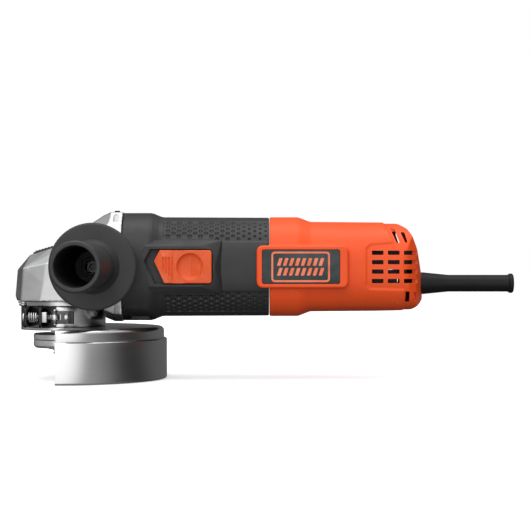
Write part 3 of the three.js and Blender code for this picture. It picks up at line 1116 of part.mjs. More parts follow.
function armatureShaft() {
  const [front, rear] = [GEAR_PITCH_RADIUS - FACE_WIDTH - 1, REAR_BEARING_X + REAR_BEARING_WIDTH];
  return bar('x', SHAFT_RADIUS, front, rear, [0, MOTOR_AXIS_Z], 24);
}

function armatureCore() {
  const core = tube(SHAFT_RADIUS + GAP, ARMATURE_RADIUS, STATOR_START_X, STATOR_END_X);
  const slots = [];
  for (let i = 0; i < 12; i += 1) {
    const geometry = new THREE.BoxGeometry(STATOR_LENGTH + 2, 2, 2.4);
    geometry.translate(STATOR_START_X + STATOR_LENGTH / 2, ARMATURE_RADIUS, 0);
    geometry.rotateX((Math.PI * i) / 6).translate(0, 0, MOTOR_AXIS_Z);
    slots.push(solid(geometry));
  }
  return cut(core, slots);
}

function armatureWinding(from, to) {
  const [inner, outer] = [SHAFT_RADIUS + GAP, ARMATURE_RADIUS - 1.5];
  return turned('x', [[inner, from], [outer - 1.5, from], [outer, from + 1.2], [outer, to - 1.2],
    [outer - 1.5, to], [inner, to]], [0, MOTOR_AXIS_Z], 28);
}

function commutator() {
  const end = COMMUTATOR_X + COMMUTATOR_LENGTH;
  return turned('x', [[SHAFT_RADIUS + GAP, COMMUTATOR_X], [COMMUTATOR_RADIUS + 1.2, COMMUTATOR_X],
    [COMMUTATOR_RADIUS + 1.2, COMMUTATOR_X + 2], [COMMUTATOR_RADIUS, COMMUTATOR_X + 2],
    [COMMUTATOR_RADIUS, end], [SHAFT_RADIUS + GAP, end]], [0, MOTOR_AXIS_Z], 24);
}

function coolingFan() {
  const [plate, hubRadius] = [1.6, 9];
  const disc = turned('x', [[SHAFT_RADIUS + GAP, FAN_X], [FAN_RADIUS, FAN_X], [FAN_RADIUS, FAN_X + plate],
    [hubRadius, FAN_X + plate], [hubRadius, FAN_X + FAN_LENGTH], [SHAFT_RADIUS + GAP, FAN_X + FAN_LENGTH]],
  [0, MOTOR_AXIS_Z], 28);
  const blades = [];
  for (let i = 0; i < 12; i += 1) {
    const geometry = new THREE.BoxGeometry(FAN_LENGTH - plate, FAN_RADIUS - 14, 1.3);
    geometry.translate(FAN_X + plate / 2 + FAN_LENGTH / 2, (FAN_RADIUS + 13) / 2, 0);
    geometry.rotateX((2 * Math.PI * i) / 12).translate(0, 0, MOTOR_AXIS_Z);
    blades.push(solid(geometry));
  }
  return unite([disc, ...blades]);
}

function fanBaffle() {
  const x = FAN_X + FAN_LENGTH + 1.4;
  const rim = FAN_RADIUS + 1.2;
  return turned('x', [[18, x - 0.6], [20, x], [rim, x], [rim, x + 1.6], [19, x + 1.6], [17, x + 1]],
    [0, MOTOR_AXIS_Z]);
}

function carbonBrush(way) {
  const [near, far] = [COMMUTATOR_RADIUS + GAP, COMMUTATOR_RADIUS + GAP + BRUSH.length];
  const [a, b] = [MOTOR_AXIS_Z + way * near, MOTOR_AXIS_Z + way * far];
  return block(BRUSH_X - BRUSH.x / 2, BRUSH_X + BRUSH.x / 2, -BRUSH.y / 2, BRUSH.y / 2, Math.min(a, b),
    Math.max(a, b));
}

function brushHolder(way) {
  const wall = 1.2;
  const [near, far] = [COMMUTATOR_RADIUS + 3, GRIP_HALF_HEIGHT - WALL - 2.5];
  const [a, b] = [MOTOR_AXIS_Z + way * near, MOTOR_AXIS_Z + way * far];
  const [hx, hy] = [BRUSH.x / 2 + GAP, BRUSH.y / 2 + GAP];
  const outer = block(BRUSH_X - hx - wall, BRUSH_X + hx + wall, -hy - wall, hy + wall, Math.min(a, b),
    Math.max(a, b));
  return outer.subtract(block(BRUSH_X - hx, BRUSH_X + hx, -hy, hy, 0, 120));
}

// ---------------------------------------------------------------- assembly

function paint(color, roughness, metalness) {
  return new THREE.MeshStandardMaterial({ color, roughness, metalness });
}

const MATERIALS = {
  castAluminium: paint(0xb4b5b7, 0.42, 0.9),
  polishedSteel: paint(0xc4c5c8, 0.25, 1),
  steel: paint(0x9a9ca0, 0.35, 1),
  darkSteel: paint(0x3c3d40, 0.4, 0.9),
  blackPlastic: paint(0x2b2c2e, 0.6, 0),
  handlePlastic: paint(0x333436, 0.65, 0),
  orangePlastic: paint(0xf4581f, 0.4, 0),
  badgePlastic: paint(0x38474a, 0.5, 0),
  rubber: paint(0x17181a, 0.7, 0),
  copper: paint(0xb87333, 0.35, 1),
  lamination: paint(0x6c6e72, 0.5, 0.8),
  carbon: paint(0x202022, 0.8, 0),
  brass: paint(0xc9a34b, 0.35, 1),
};

const grinder = new THREE.Group();

function place(name, body, material) {
  const { vertProperties, triVerts } = body.getMesh();
  const geometry = new THREE.BufferGeometry();
  geometry.setAttribute('position', new THREE.BufferAttribute(Float32Array.from(vertProperties), 3));
  geometry.setIndex(Array.from(triVerts));
  geometry.computeVertexNormals();
  const mesh = new THREE.Mesh(geometry, MATERIALS[material]);
  mesh.name = name;
  grinder.add(mesh);
}

place('gear_case', gearCase(), 'castAluminium');
place('bearing_cap', bearingCap(), 'castAluminium');
CAP_SCREWS.forEach((centre, i) => place(`cap_screw_${i + 1}`, capScrew(centre), 'steel'));
caseScrewCentres().forEach((centre, i) => place(`case_screw_${i + 1}`, caseScrew(centre), 'steel'));
place('top_plug', topPlug(), 'rubber');
place('lock_button', lockButton(), 'blackPlastic');
place('lock_pin', lockPin(), 'steel');
place('lock_spring', lockSpring(), 'steel');

place('spindle', spindle(), 'steel');
place('bevel_gear', bevelGear(), 'steel');
place('spindle_bearing', spindleBearing(), 'steel');
place('spindle_bush', spindleBush(), 'brass');
place('backing_flange', backingFlange(), 'steel');
place('lock_nut', lockNut(), 'steel');

place('guard_plate', guardPlate(), 'polishedSteel');
place('guard_skirt', guardSkirt(), 'polishedSteel');
place('guard_band', guardBand(), 'polishedSteel');
place('clamp_screw', clampScrew(), 'steel');
place('clamp_nut', clampNut(), 'steel');
place('clamp_spring', clampSpring(), 'steel');
place('clamp_lever', clampLever(), 'darkSteel');
place('clamp_lever_pin', clampLeverPin(), 'steel');

place('handle_grip', handleGrip(), 'handlePlastic');
place('handle_stud', handleStud(), 'steel');

place('motor_housing', motorHousing(), 'blackPlastic');
place('switch_slider', switchSlider(), 'orangePlastic');
place('switch_rod', switchRod(), 'handlePlastic');
place('switch_module', switchModule(), 'handlePlastic');

place('rear_housing_left', rearHousingLeft(), 'orangePlastic');
place('rear_housing_right', rearHousingRight(), 'orangePlastic');
SHELL_SCREWS.forEach((centre, i) => place(`shell_screw_${i + 1}`, shellScrew(centre), 'steel'));
place('badge_left', badge(), 'badgePlastic');
place('badge_right', mirrored(badge()), 'badgePlastic');
place('strain_relief', strainRelief(), 'rubber');
place('cord_clamp', cordClamp(), 'handlePlastic');

place('stator_core', statorCore(), 'lamination');
place('field_coil_upper', fieldCoil(1), 'copper');
place('field_coil_lower', fieldCoil(-1), 'copper');
place('armature_shaft', armatureShaft(), 'steel');
place('armature_core', armatureCore(), 'lamination');
place('armature_winding_front',
  armatureWinding(STATOR_START_X - COIL_OVERHANG, STATOR_START_X - GAP), 'copper');
place('armature_winding_rear', armatureWinding(STATOR_END_X + GAP, STATOR_END_X + COIL_OVERHANG), 'copper');
place('commutator', commutator(), 'copper');
place('pinion', pinion(), 'steel');
place('cooling_fan', coolingFan(), 'handlePlastic');
place('fan_baffle', fanBaffle(), 'handlePlastic');
place('front_bearing', bearing('x', MOTOR_BEARING_RADIUS, SHAFT_RADIUS + GAP, MOTOR_BEARING_X,
  MOTOR_BEARING_WIDTH, [0, MOTOR_AXIS_Z]), 'steel');
place('rear_bearing', bearing('x', REAR_BEARING_RADIUS, SHAFT_RADIUS + GAP, REAR_BEARING_X,
  REAR_BEARING_WIDTH, [0, MOTOR_AXIS_Z]), 'steel');
place('brush_1', carbonBrush(1), 'carbon');
place('brush_2', carbonBrush(-1), 'carbon');
place('brush_holder_1', brushHolder(1), 'brass');
place('brush_holder_2', brushHolder(-1), 'brass');

export default grinder;
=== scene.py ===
import math

import bmesh
import bpy
import numpy as np
from mathutils import Matrix, Vector

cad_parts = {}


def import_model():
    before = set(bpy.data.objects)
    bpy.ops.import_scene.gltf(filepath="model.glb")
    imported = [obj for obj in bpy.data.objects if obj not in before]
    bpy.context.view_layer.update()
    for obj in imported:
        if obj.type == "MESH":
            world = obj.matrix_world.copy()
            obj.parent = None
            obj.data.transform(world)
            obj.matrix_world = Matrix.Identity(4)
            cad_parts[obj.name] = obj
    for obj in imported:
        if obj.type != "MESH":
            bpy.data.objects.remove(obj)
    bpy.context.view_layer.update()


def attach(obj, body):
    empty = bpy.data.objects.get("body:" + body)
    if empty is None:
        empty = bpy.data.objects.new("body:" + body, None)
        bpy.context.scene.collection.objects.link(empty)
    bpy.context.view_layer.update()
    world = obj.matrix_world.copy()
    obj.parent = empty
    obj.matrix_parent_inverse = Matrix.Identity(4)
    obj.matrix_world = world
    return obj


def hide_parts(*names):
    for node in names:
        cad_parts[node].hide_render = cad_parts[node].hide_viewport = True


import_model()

# All shapes below are in millimetres in the CAD model's frame. MM turns them into metres.
MM = 0.001
GAP = 0.3

# ------------------------------------------------------------------ driving dimensions
AXIS_Z = 58.5                      # motor axis
WALL = 2.6
COLLAR_START = 42.1
COLLAR_END = 59.9
GRIP_START = 66.6
GRIP_END = 137.6
COLLAR_HALF = (34.5, 35.8)
GRIP_HALF = (31.5, 33.0)
GRIP_END_HALF = (31.2, 32.7)
REAR_START = 137.9
REAR_SLOPE_START = 156.9
REAR_SLOPE_END = 164.9
REAR_END = 240.3
REAR_HALF = (29.5, 29.9)
REAR_END_HALF = (28.5, 29.3)
SECTION_POWER = 2.7

HANDLE_X = 25.2
HANDLE_BACK = -48.0
HANDLE_FACE = -55.0
HANDLE_TIP = -145.6
FLANGE_RADIUS = 28.0
BOOT_Z = 47.4
BOOT_END = REAR_END + 60.6

SLIDER_FRONT = 62.9
SLIDER_REAR = 100.3
SLIDER_LOW = 47.7
SLIDER_TOP = 69.2
SLIDER_TIP_Z = 62.1
SLIDER_INNER_Y = 29.4
SLIDER_FACE_Y = 35.0
SLIDER_TRAVEL = 5.5
SURROUND_Y = 34.2
POCKET_FLOOR_Y = 29.1

BADGE_X0, BADGE_X1 = 129.4, 189.0
BADGE_Z0, BADGE_Z1 = 44.7, 72.3
BADGE_Y = 34.0
BADGE_RIM = 3.4
BADGE_REAR_RIM = 5.3
BADGE_HIGH_RIM = 2.5

GUARD_RADIUS = 67.2
GUARD_TOP = 18.7
GUARD_CUT_X = 3.3
SKIRT_OUTER = 69.15
SKIRT_TOP = 10.9
SKIRT_BOTTOM = -15.9
BAND_INNER = 26.1
BAND_OUTER = 28.1
BAND_BOTTOM = 19.0
BAND_TOP = 32.2
OUTER_EAR_X = -21.2
INNER_EAR_X = -11.6
EAR = 1.7
CLAMP_EYE_X = -1.6
CLAMP_Y = -31.5
CLAMP_Z = 25.6


# ------------------------------------------------------------------ mesh helpers
def link(mesh, name="work"):
    obj = bpy.data.objects.new(name, mesh)
    bpy.context.scene.collection.objects.link(obj)
    return obj


def solid(verts, faces):
    """A closed mesh object from points in millimetres, with its faces turned outwards."""
    mesh = bpy.data.meshes.new("work")
    points = np.asarray(verts, dtype=float) * MM
    mesh.from_pydata(points.tolist(), [], faces)
    bm = bmesh.new()
    bm.from_mesh(mesh)
    bmesh.ops.remove_doubles(bm, verts=bm.verts, dist=1e-7)
    bmesh.ops.dissolve_degenerate(bm, dist=1e-8, edges=bm.edges)
    bmesh.ops.recalc_face_normals(bm, faces=bm.faces)
    bm.to_mesh(mesh)
    bm.free()
    return link(mesh)


def applied(obj, kind, **settings):
    """Adds one modifier to an own piece and applies it."""
    modifier = obj.modifiers.new(kind.lower(), kind)
    for key, value in settings.items():
        setattr(modifier, key, value)
    graph = bpy.context.evaluated_depsgraph_get()
    mesh = bpy.data.meshes.new_from_object(obj.evaluated_get(graph))
    obj.modifiers.clear()
    old = obj.data
    obj.data = mesh
    bpy.data.meshes.remove(old)
    return obj


def boolean(target, tools, operation="DIFFERENCE"):
    for tool in tools:
        applied(target, "BOOLEAN", object=tool, operation=operation, solver="MANIFOLD")
        mesh = tool.data
        bpy.data.objects.remove(tool)
        bpy.data.meshes.remove(mesh)
    return target


def bevelled(obj, width, segments=2, angle=30):
    return applied(obj, "BEVEL", width=width * MM, segments=segments, limit_method="ANGLE",
                   angle_limit=math.radians(angle))


def softened(obj, voxel, smoothing=4):
    """Remeshes a solid evenly and smooths it, which rounds every edge as moulding or casting does."""
    applied(obj, "REMESH", mode="VOXEL", voxel_size=voxel * MM)
    return applied(obj, "SMOOTH", factor=0.5, iterations=smoothing)


def oriented(axis, points, centre):
    """Points given as (u, v, station) about an axis, moved into the frame."""
    cu, cv = centre
    place = {
        "x": lambda u, v, s: (s, u + cu, v + cv),
        "y": lambda u, v, s: (u + cu, s, v + cv),
        "z": lambda u, v, s: (u + cu, v + cv, s),
    }[axis]
    return [place(*p) for p in points]


def prism(axis, outline, start, end):
    count = len(outline)
    points = [(u, v, s) for s in (start, end) for u, v in outline]
    faces = [list(range(count)), list(range(count, 2 * count))]
    faces += [[i, (i + 1) % count, count + (i + 1) % count, count + i] for i in range(count)]
    return solid(oriented(axis, points, (0, 0)), faces)


def box(x0, x1, y0, y1, z0, z1):
    return prism("z", [(x0, y0), (x1, y0), (x1, y1), (x0, y1)], z0, z1)


def lathe(axis, profile, centre=(0, 0), steps=96):
    """Turns a closed profile of (radius, station) pairs about an axis."""
    count = len(profile)
    points = []
    for i in range(steps):
        angle = 2 * math.pi * i / steps
        points += [(r * math.cos(angle), r * math.sin(angle), s) for r, s in profile]
    faces = []
    for i in range(steps):
        for j in range(count):
            a, b = i * count + j, i * count + (j + 1) % count
            c, d = (b + count) % (steps * count), (a + count) % (steps * count)
            faces.append([a, b, c, d])
    return solid(oriented(axis, points, centre), faces)


def bar(axis, radius, start, end, centre=(0, 0), steps=32, chamfer=0.0):
    profile = [(0, start), (radius - chamfer, start), (radius, start + math.copysign(chamfer, end - start)),
               (radius, end - math.copysign(chamfer, end - start)), (radius - chamfer, end), (0, end)]
    return lathe(axis, profile if chamfer else [(0, start), (radius, start), (radius, end), (0, end)],
                 centre, steps)


def hull(points):
    mesh = bpy.data.meshes.new("work")
    bm = bmesh.new()
    for p in points:
        bm.verts.new([c * MM for c in p])
    found = bmesh.ops.convex_hull(bm, input=bm.verts)
    loose = [g for g in found["geom_interior"] + found["geom_unused"] if isinstance(g, bmesh.types.BMVert)]
    bmesh.ops.delete(bm, geom=list(set(loose)), context="VERTS")
    bmesh.ops.dissolve_limit(bm, angle_limit=0.01, verts=bm.verts, edges=bm.edges)
    bmesh.ops.recalc_face_normals(bm, faces=bm.faces)
    bm.to_mesh(mesh)
    bm.free()
    return link(mesh)


def rounded(outline, radii, steps=4):
    """Replaces the corners of a closed outline by arcs. radii is one radius or one for each corner."""
    count = len(outline)
    radii = [radii] * count if isinstance(radii, (int, float)) else radii
    result = []
    for i, radius in enumerate(radii):
        before, here, after = (Vector(outline[(i + k) % count]) for k in (-1, 0, 1))
        to_before, to_after = before - here, after - here
        half = to_before.angle(to_after, math.pi) / 2
        reach = radius / math.tan(half) if half > 1e-3 else 0
        reach = min(reach, 0.49 * to_before.length, 0.49 * to_after.length)
        if radius <= 0 or reach < 1e-3 or half > math.pi / 2 - 0.03:
            result.append(tuple(here))
            continue
        start, end = here + to_before.normalized() * reach, here + to_after.normalized() * reach
        for k in range(steps + 1):
            t = k / steps
            result.append(tuple((1 - t) ** 2 * start + 2 * t * (1 - t) * here + t ** 2 * end))
    return result


def rounded_box(x0, x1, z0, z1, radius, steps=6):
    return rounded([(x0, z0), (x1, z0), (x1, z1), (x0, z1)], radius, steps)


def tube(path, radius, sides=12):
    """A round wire along a path of points, with flat ends."""
    points = [Vector(p) for p in path]
    rings = []
    normal = None
    for i, p in enumerate(points):
        tangent = (points[min(i + 1, len(points) - 1)] - points[max(i - 1, 0)]).normalized()
        if normal is None:
            normal = tangent.orthogonal().normalized()
        normal = (normal - tangent * normal.dot(tangent)).normalized()
        side = tangent.cross(normal)
        rings += [p + radius * (normal * math.cos(a) + side * math.sin(a))
                  for a in (2 * math.pi * k / sides for k in range(sides))]
    faces = [[r * sides + k, r * sides + (k + 1) % sides, (r + 1) * sides + (k + 1) % sides,
              (r + 1) * sides + k]
             for r in range(len(points) - 1) for k in range(sides)]
    faces += [list(range(sides)), list(range((len(points) - 1) * sides, len(points) * sides))]
    return solid([tuple(p) for p in rings], faces)


def mirror_y(obj):
    obj.data.transform(Matrix.Scale(-1, 4, (0, 1, 0)))
    obj.data.flip_normals()
    return obj


def copy_of(obj):
    return link(obj.data.copy())


def piece(obj, name, body, material, nodes=(), sharp=32):
    """Names a finished piece, shades it, gives it its material and ties it to a body."""
    obj.name = name
    obj.data.name = name
    obj.data.shade_smooth()
    obj.data.set_sharp_from_angle(angle=math.radians(sharp))
    obj.data.materials.clear()
    obj.data.materials.append(material)
    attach(obj, body)
    if nodes:
        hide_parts(*nodes)
    return obj


# ------------------------------------------------------------------ housing skin
def half_section(half_width, half_height, count):
    """The housing section from its top round the -Y side to its bottom, evenly spaced, and the
    distance of each point from the middle of the side."""
    t = np.linspace(0, math.pi, 4001)
    y = -np.abs(np.sin(t)) ** (2 / SECTION_POWER) * half_width
    z = np.sign(np.cos(t)) * np.abs(np.cos(t)) ** (2 / SECTION_POWER) * half_height
    run = np.concatenate([[0], np.cumsum(np.hypot(np.diff(y), np.diff(z)))])
    s = np.linspace(0, run[-1], count)
    return np.interp(s, run, y), np.interp(s, run, z), run[-1] / 2 - s


def skin_grid(stations, xs, count, depth=None):
    """Points of the closed housing skin at the stations xs. depth(x, s, z) sinks the surface."""
    known = np.array(stations, dtype=float)
    rows = []
    for x in xs:
        width = np.interp(x, known[:, 0], known[:, 1])
        height = np.interp(x, known[:, 0], known[:, 2])
        y, z, s = half_section(width, height, count)
        tangent = np.stack([np.gradient(y), np.gradient(z)])
        tangent /= np.linalg.norm(tangent, axis=0)
        outward = np.stack([tangent[1], -tangent[0]])
        if outward[0, count // 2] > 0:
            outward = -outward
        sink = depth(x, s, z) if depth else np.zeros(count)
        y, z = y - outward[0] * sink, z - outward[1] * sink
        y[0] = y[-1] = 0.0
        left = np.stack([np.full(count, x), y, z + AXIS_Z], axis=1)
        right = left[1:-1][::-1] * [1, -1, 1]
        rows.append(np.concatenate([left, right]))
    return np.array(rows)


def grid_solid(rows):
    """A closed solid through rings of points, with flat ends."""
    rings, count = rows.shape[:2]
    faces = []
    for r in range(rings - 1):
        base, above = r * count, (r + 1) * count
        faces += [[base + i, base + (i + 1) % count, above + (i + 1) % count, above + i]
                  for i in range(count)]
    faces.append(list(range(count)))
    faces.append(list(range((rings - 1) * count, rings * count)))
    return solid(rows.reshape(-1, 3), faces)


def smoothstep(low, high, value):
    t = np.clip((value - low) / (high - low), 0, 1)
    return t * t * (3 - 2 * t)


# ------------------------------------------------------------------ material helpers
def add_node(tree, kind, inputs=None, **settings):
    """Adds a node, links or sets its inputs and sets its properties."""
    node = tree.nodes.new(kind)
    for key, value in settings.items():
        setattr(node, key, value)
    for key, value in (inputs or {}).items():
        if isinstance(value, bpy.types.NodeSocket):
            tree.links.new(value, node.inputs[key])
        else:
            node.inputs[key].default_value = value
    return node


class Nodes:
    """A short way to write a material's node tree."""

    def __init__(self, name):
        self.material = bpy.data.materials.new(name)
        self.material.use_nodes = True
        self.tree = self.material.node_tree
        self.tree.nodes.clear()
        self.output = self.tree.nodes.new("ShaderNodeOutputMaterial")
        self.shader = self.tree.nodes.new("ShaderNodeBsdfPrincipled")
        self.tree.links.new(self.shader.outputs[0], self.output.inputs[0])
        self.coordinates = self.tree.nodes.new("ShaderNodeTexCoord").outputs["Object"]

    def add(self, kind, inputs=None, **settings):
        return add_node(self.tree, kind, inputs, **settings)

    def scaled(self, scale):
        return self.add("ShaderNodeMapping", {"Vector": self.coordinates, "Scale": scale}).outputs[0]

    def noise(self, scale, detail=3.0, roughness=0.5, vector=None):
        return self.add("ShaderNodeTexNoise", {"Vector": vector or self.coordinates, "Scale": scale,
                                               "Detail": detail, "Roughness": roughness}).outputs["Fac"]

    def ranged(self, value, low, high, source=(0.3, 0.7)):
        return self.add("ShaderNodeMapRange", {"Value": value, "From Min": source[0], "From Max": source[1],
                                               "To Min": low, "To Max": high}).outputs["Result"]

    def mixed(self, factor, first, second):
        return self.add("ShaderNodeMix", {0: factor, 6: first, 7: second}, data_type="RGBA").outputs[2]

    def edges(self, low=0.52, high=0.6):
        """Grows towards 1 on the mesh's outward edges."""
        geometry = self.add("ShaderNodeNewGeometry")
        return self.ranged(geometry.outputs["Pointiness"], 0.0, 1.0, (low, high))

    def set(self, **sockets):
        for key, value in sockets.items():
            socket = self.shader.inputs[key.replace("_", " ")]
            if isinstance(value, bpy.types.NodeSocket):
                self.tree.links.new(value, socket)
            else:
                socket.default_value = value
        return self

    def bump(self, height, strength, distance, below=None):
        inputs = {"Height": height, "Strength": strength, "Distance": distance * MM}
        if below:
            inputs["Normal"] = below
        return self.add("ShaderNodeBump", inputs).outputs[0]


def colour(hex_code, gain=1.0):
    """A hex sRGB colour as linear RGBA."""
    channels = [int(hex_code[i:i + 2], 16) / 255 for i in (0, 2, 4)]
    linear = [c / 12.92 if c <= 0.04045 else ((c + 0.055) / 1.055) ** 2.4 for c in channels]
    return (*[min(1.0, c * gain) for c in linear], 1.0)


def moulded(name, base, worn, roughness, grain=3200.0, grain_depth=0.012, specular=0.5):
    """Moulded plastic: slight colour drift, a fine spark-eroded grain and paler worn edges."""
    n = Nodes(name)
    drift = n.ranged(n.noise(28.0, 4.0), 0.0, 1.0)
    body = n.mixed(drift, colour(base, 0.95), colour(base, 1.04))
    speck = n.ranged(n.noise(grain, 2.0), 0.0, 0.18, (0.5, 0.75))
    body = n.mixed(speck, body, colour(worn, 0.95))
    wear = n.add("ShaderNodeMath", {0: n.edges(), 1: n.ranged(n.noise(160.0, 5.0), 0.0, 0.55)},
                 operation="MULTIPLY").outputs[0]
    n.set(Base_Color=n.mixed(wear, body, colour(worn)))
    n.set(Roughness=n.ranged(n.noise(70.0, 5.0), roughness - 0.05, roughness + 0.07))
    n.set(Normal=n.bump(n.noise(grain, 3.0), 0.35, grain_depth))
    n.set(Specular_IOR_Level=specular)
    return n.material


def cast_metal():
    """Die-cast aluminium: blasted grain, flow shading and polished edges."""
    n = Nodes("cast aluminium")
    drift = n.ranged(n.noise(22.0, 5.0, 0.6), 0.0, 1.0)
    body = n.mixed(drift, (0.50, 0.502, 0.506, 1), (0.60, 0.602, 0.606, 1))
    fleck = n.ranged(n.noise(2400.0, 2.0), 0.0, 0.3, (0.5, 0.75))
    body = n.mixed(fleck, body, (0.68, 0.68, 0.685, 1))
    n.set(Base_Color=n.mixed(n.edges(0.52, 0.60), body, (0.76, 0.76, 0.77, 1)), Metallic=1.0)
    n.set(Roughness=n.ranged(n.noise(90.0, 4.0), 0.24, 0.32))
    fine = n.bump(n.noise(2600.0, 3.0), 0.3, 0.008)
    n.set(Normal=n.bump(n.noise(420.0, 3.0), 0.1, 0.03, fine))
    return n.material


def brushed(name, tone, roughness, stretch, depth, painted_shade_before=None):
    """Metal with fine lines along the directions whose stretch is small; painted shade before one X, if
    given.
    """
    n = Nodes(name)
    lines = n.noise(1.0, 4.0, 0.6, n.scaled(stretch))
    body = n.mixed(n.ranged(lines, 0.0, 1.0), (*[tone * 0.96] * 3, 1), (tone, tone, tone * 1.01, 1))
    smudge = n.ranged(n.noise(35.0, 5.0, 0.6), 0.0, 0.35)
    body = n.mixed(smudge, body, (*[tone * 0.93] * 3, 1))
    if painted_shade_before is not None:
        # painted shade: near-black colour before that X stands in for the shadow behind the clamp hardware
        along = n.add("ShaderNodeSeparateXYZ", {"Vector": n.coordinates}).outputs["X"]
        outside_painted_shade = n.ranged(along, 0.0, 1.0, (painted_shade_before * MM, (painted_shade_before + 1) * MM))
        body = n.mixed(outside_painted_shade, (0.03, 0.03, 0.031, 1), body)
    n.set(Base_Color=body, Metallic=1.0)
    n.set(Roughness=n.ranged(lines, roughness - 0.02, roughness + 0.03))
    n.set(Normal=n.bump(lines, 0.3, depth))
    return n.material


def turned_metal(name, tone, roughness, tint=(1, 1, 1)):
    """Turned or ground steel, brass or copper with fine tool marks and a few stains."""
    n = Nodes(name)
    marks = n.noise(1800.0, 2.0)
    body = n.mixed(n.ranged(n.noise(120.0, 5.0), 0.0, 1.0), (*[tone * 0.85 * c for c in tint], 1),
                   (*[tone * 1.05 * c for c in tint], 1))
    n.set(Base_Color=n.mixed(n.edges(0.52, 0.62), body, (*[min(1, tone * 1.3) * c for c in tint], 1)),
          Metallic=1.0)
    n.set(Roughness=n.ranged(n.noise(300.0, 4.0), roughness - 0.06, roughness + 0.1))
    n.set(Normal=n.bump(marks, 0.2, 0.02))
    return n.material


def layered(name, tone, pitch, stretch, tint=(1, 1, 1), metallic=0.7):
    """Stacked sheets or wound wire: fine lines across one direction."""
    n = Nodes(name)
    wave = n.add("ShaderNodeTexWave", {"Vector": n.scaled(stretch), "Scale": 1.0 / (pitch * MM * 3.2),
                                       "Distortion": 0.6, "Detail": 2.0}).outputs["Fac"]
    body = n.mixed(n.ranged(wave, 0.0, 1.0), (*[tone * 0.6 * c for c in tint], 1),
                   (*[tone * c for c in tint], 1))
    n.set(Base_Color=body, Metallic=metallic)
    n.set(Roughness=n.ranged(n.noise(200.0, 3.0), 0.35, 0.5))
    n.set(Normal=n.bump(wave, 0.5, 0.15))
    return n.material


def make_materials():
    return {
        "orange": moulded("orange plastic", "EE5016", "FF8458", 0.42, specular=0.3),
        "slider": moulded("slider plastic", "E05420", "FF8A62", 0.40, specular=0.3),
        "black": moulded("black plastic", "232325", "565658", 0.46, specular=0.4),
        "handle": moulded("handle plastic", "2F2F31", "606062", 0.52, specular=0.4),
        "inner": moulded("inner plastic", "242527", "444547", 0.55),
        "badge": moulded("badge plastic", "2A3233", "465052", 0.45, specular=0.35),
        "emblem": moulded("emblem print", "E4683E", "FFA080", 0.38, specular=0.3),
        "rubber": moulded("boot rubber", "0D0E0F", "26272A", 0.42, specular=0.2),
        "carbon": moulded("brush carbon", "1B1B1D", "2E2E30", 0.7, 2000.0, 0.03, 0.3),
        "cast": cast_metal(),
        "guard": brushed("guard steel", 0.62, 0.2, (14, 14, 1500), 0.0015),
        # the band gets painted shade, near black, in front of X -1.5 mm, for the shadow behind the clamp's
        # ears and bolt
        "band": brushed("band steel painted shade", 0.6, 0.2, (14, 14, 1300), 0.0015, -1.5),
        "steel": turned_metal("screw steel", 0.52, 0.32),
        # tone 0.8 is lighter than the other turned steels: painted light that offsets the guard's shadow on
        # the flange and lock nut
        "flange": turned_metal("flange steel painted light", 0.8, 0.42),
        "dark": turned_metal("dark steel", 0.10, 0.38),
        "bright": turned_metal("bright steel", 0.66, 0.26),
        "brass": turned_metal("brass", 0.72, 0.34, (1.0, 0.76, 0.38)),
        "copper": layered("wound copper", 0.72, 0.8, (0, 1, 1), (1.0, 0.48, 0.24), 1.0),
        "segments": layered("commutator copper", 0.8, 1.2, (0, 1, 1), (1.0, 0.55, 0.32), 1.0),
        "laminations": layered("stacked sheets", 0.36, 0.5, (1, 0, 0)),
    }


# ------------------------------------------------------------------ gear head
NOSE = -30.5
HEAD_LOW = 36.0
HEAD_HALF_WIDTH = 29.0
BOSS_RADIUS = 13.0      # the handle's bosses
BOSS_END = 47.7
CASE_TOP = AXIS_Z + COLLAR_HALF[1]
NECK_RADIUS = 25.8      # the bearing cap's neck, inside the guard's band
CASE_REAR = 41.8
FLANGE_FRONT = 30.3
LOCK_PIN_X = -12.0
CAP_SCREWS = [(-24.6, -14.2), (-24.6, 14.2), (20.5, -20.3), (20.5, 20.3)]
CASE_SCREWS = [(y, z) for z in (34.5, 82.5) for y in (-24.0, 24.0)]
PLUG_X = 36.0
NOTCH_X = 37.8


def head_top(x):
    return 72.4 + 0.3 * x


def both_sides(corners):
    return [(x, way * y, z) for x, y, z in corners for way in (1, -1)]


def flange_outline(shrink=0.0):
    """The case's rear flange seen along the motor axis, as (Y, Z) corners."""
    low, high = 2 * AXIS_Z - CASE_TOP + shrink, CASE_TOP - shrink
    side = COLLAR_HALF[0] - shrink
    half = [(side - 12, low), (side - 3.5, low + 5), (side, low + 14), (side, high - 14),
            (side - 3, high - 7.5), (side - 12, high)]
    return half + [(-y, z) for y, z in reversed(half)]


def button_outline(grow, above, below):
    front, rear = LOCK_PIN_X - 7.5 - grow, LOCK_PIN_X + 9.5 + grow
    return [(front, head_top(front) - below), (rear, head_top(rear) - below), (rear, head_top(rear) + above),
            (front, head_top(front) + above)]


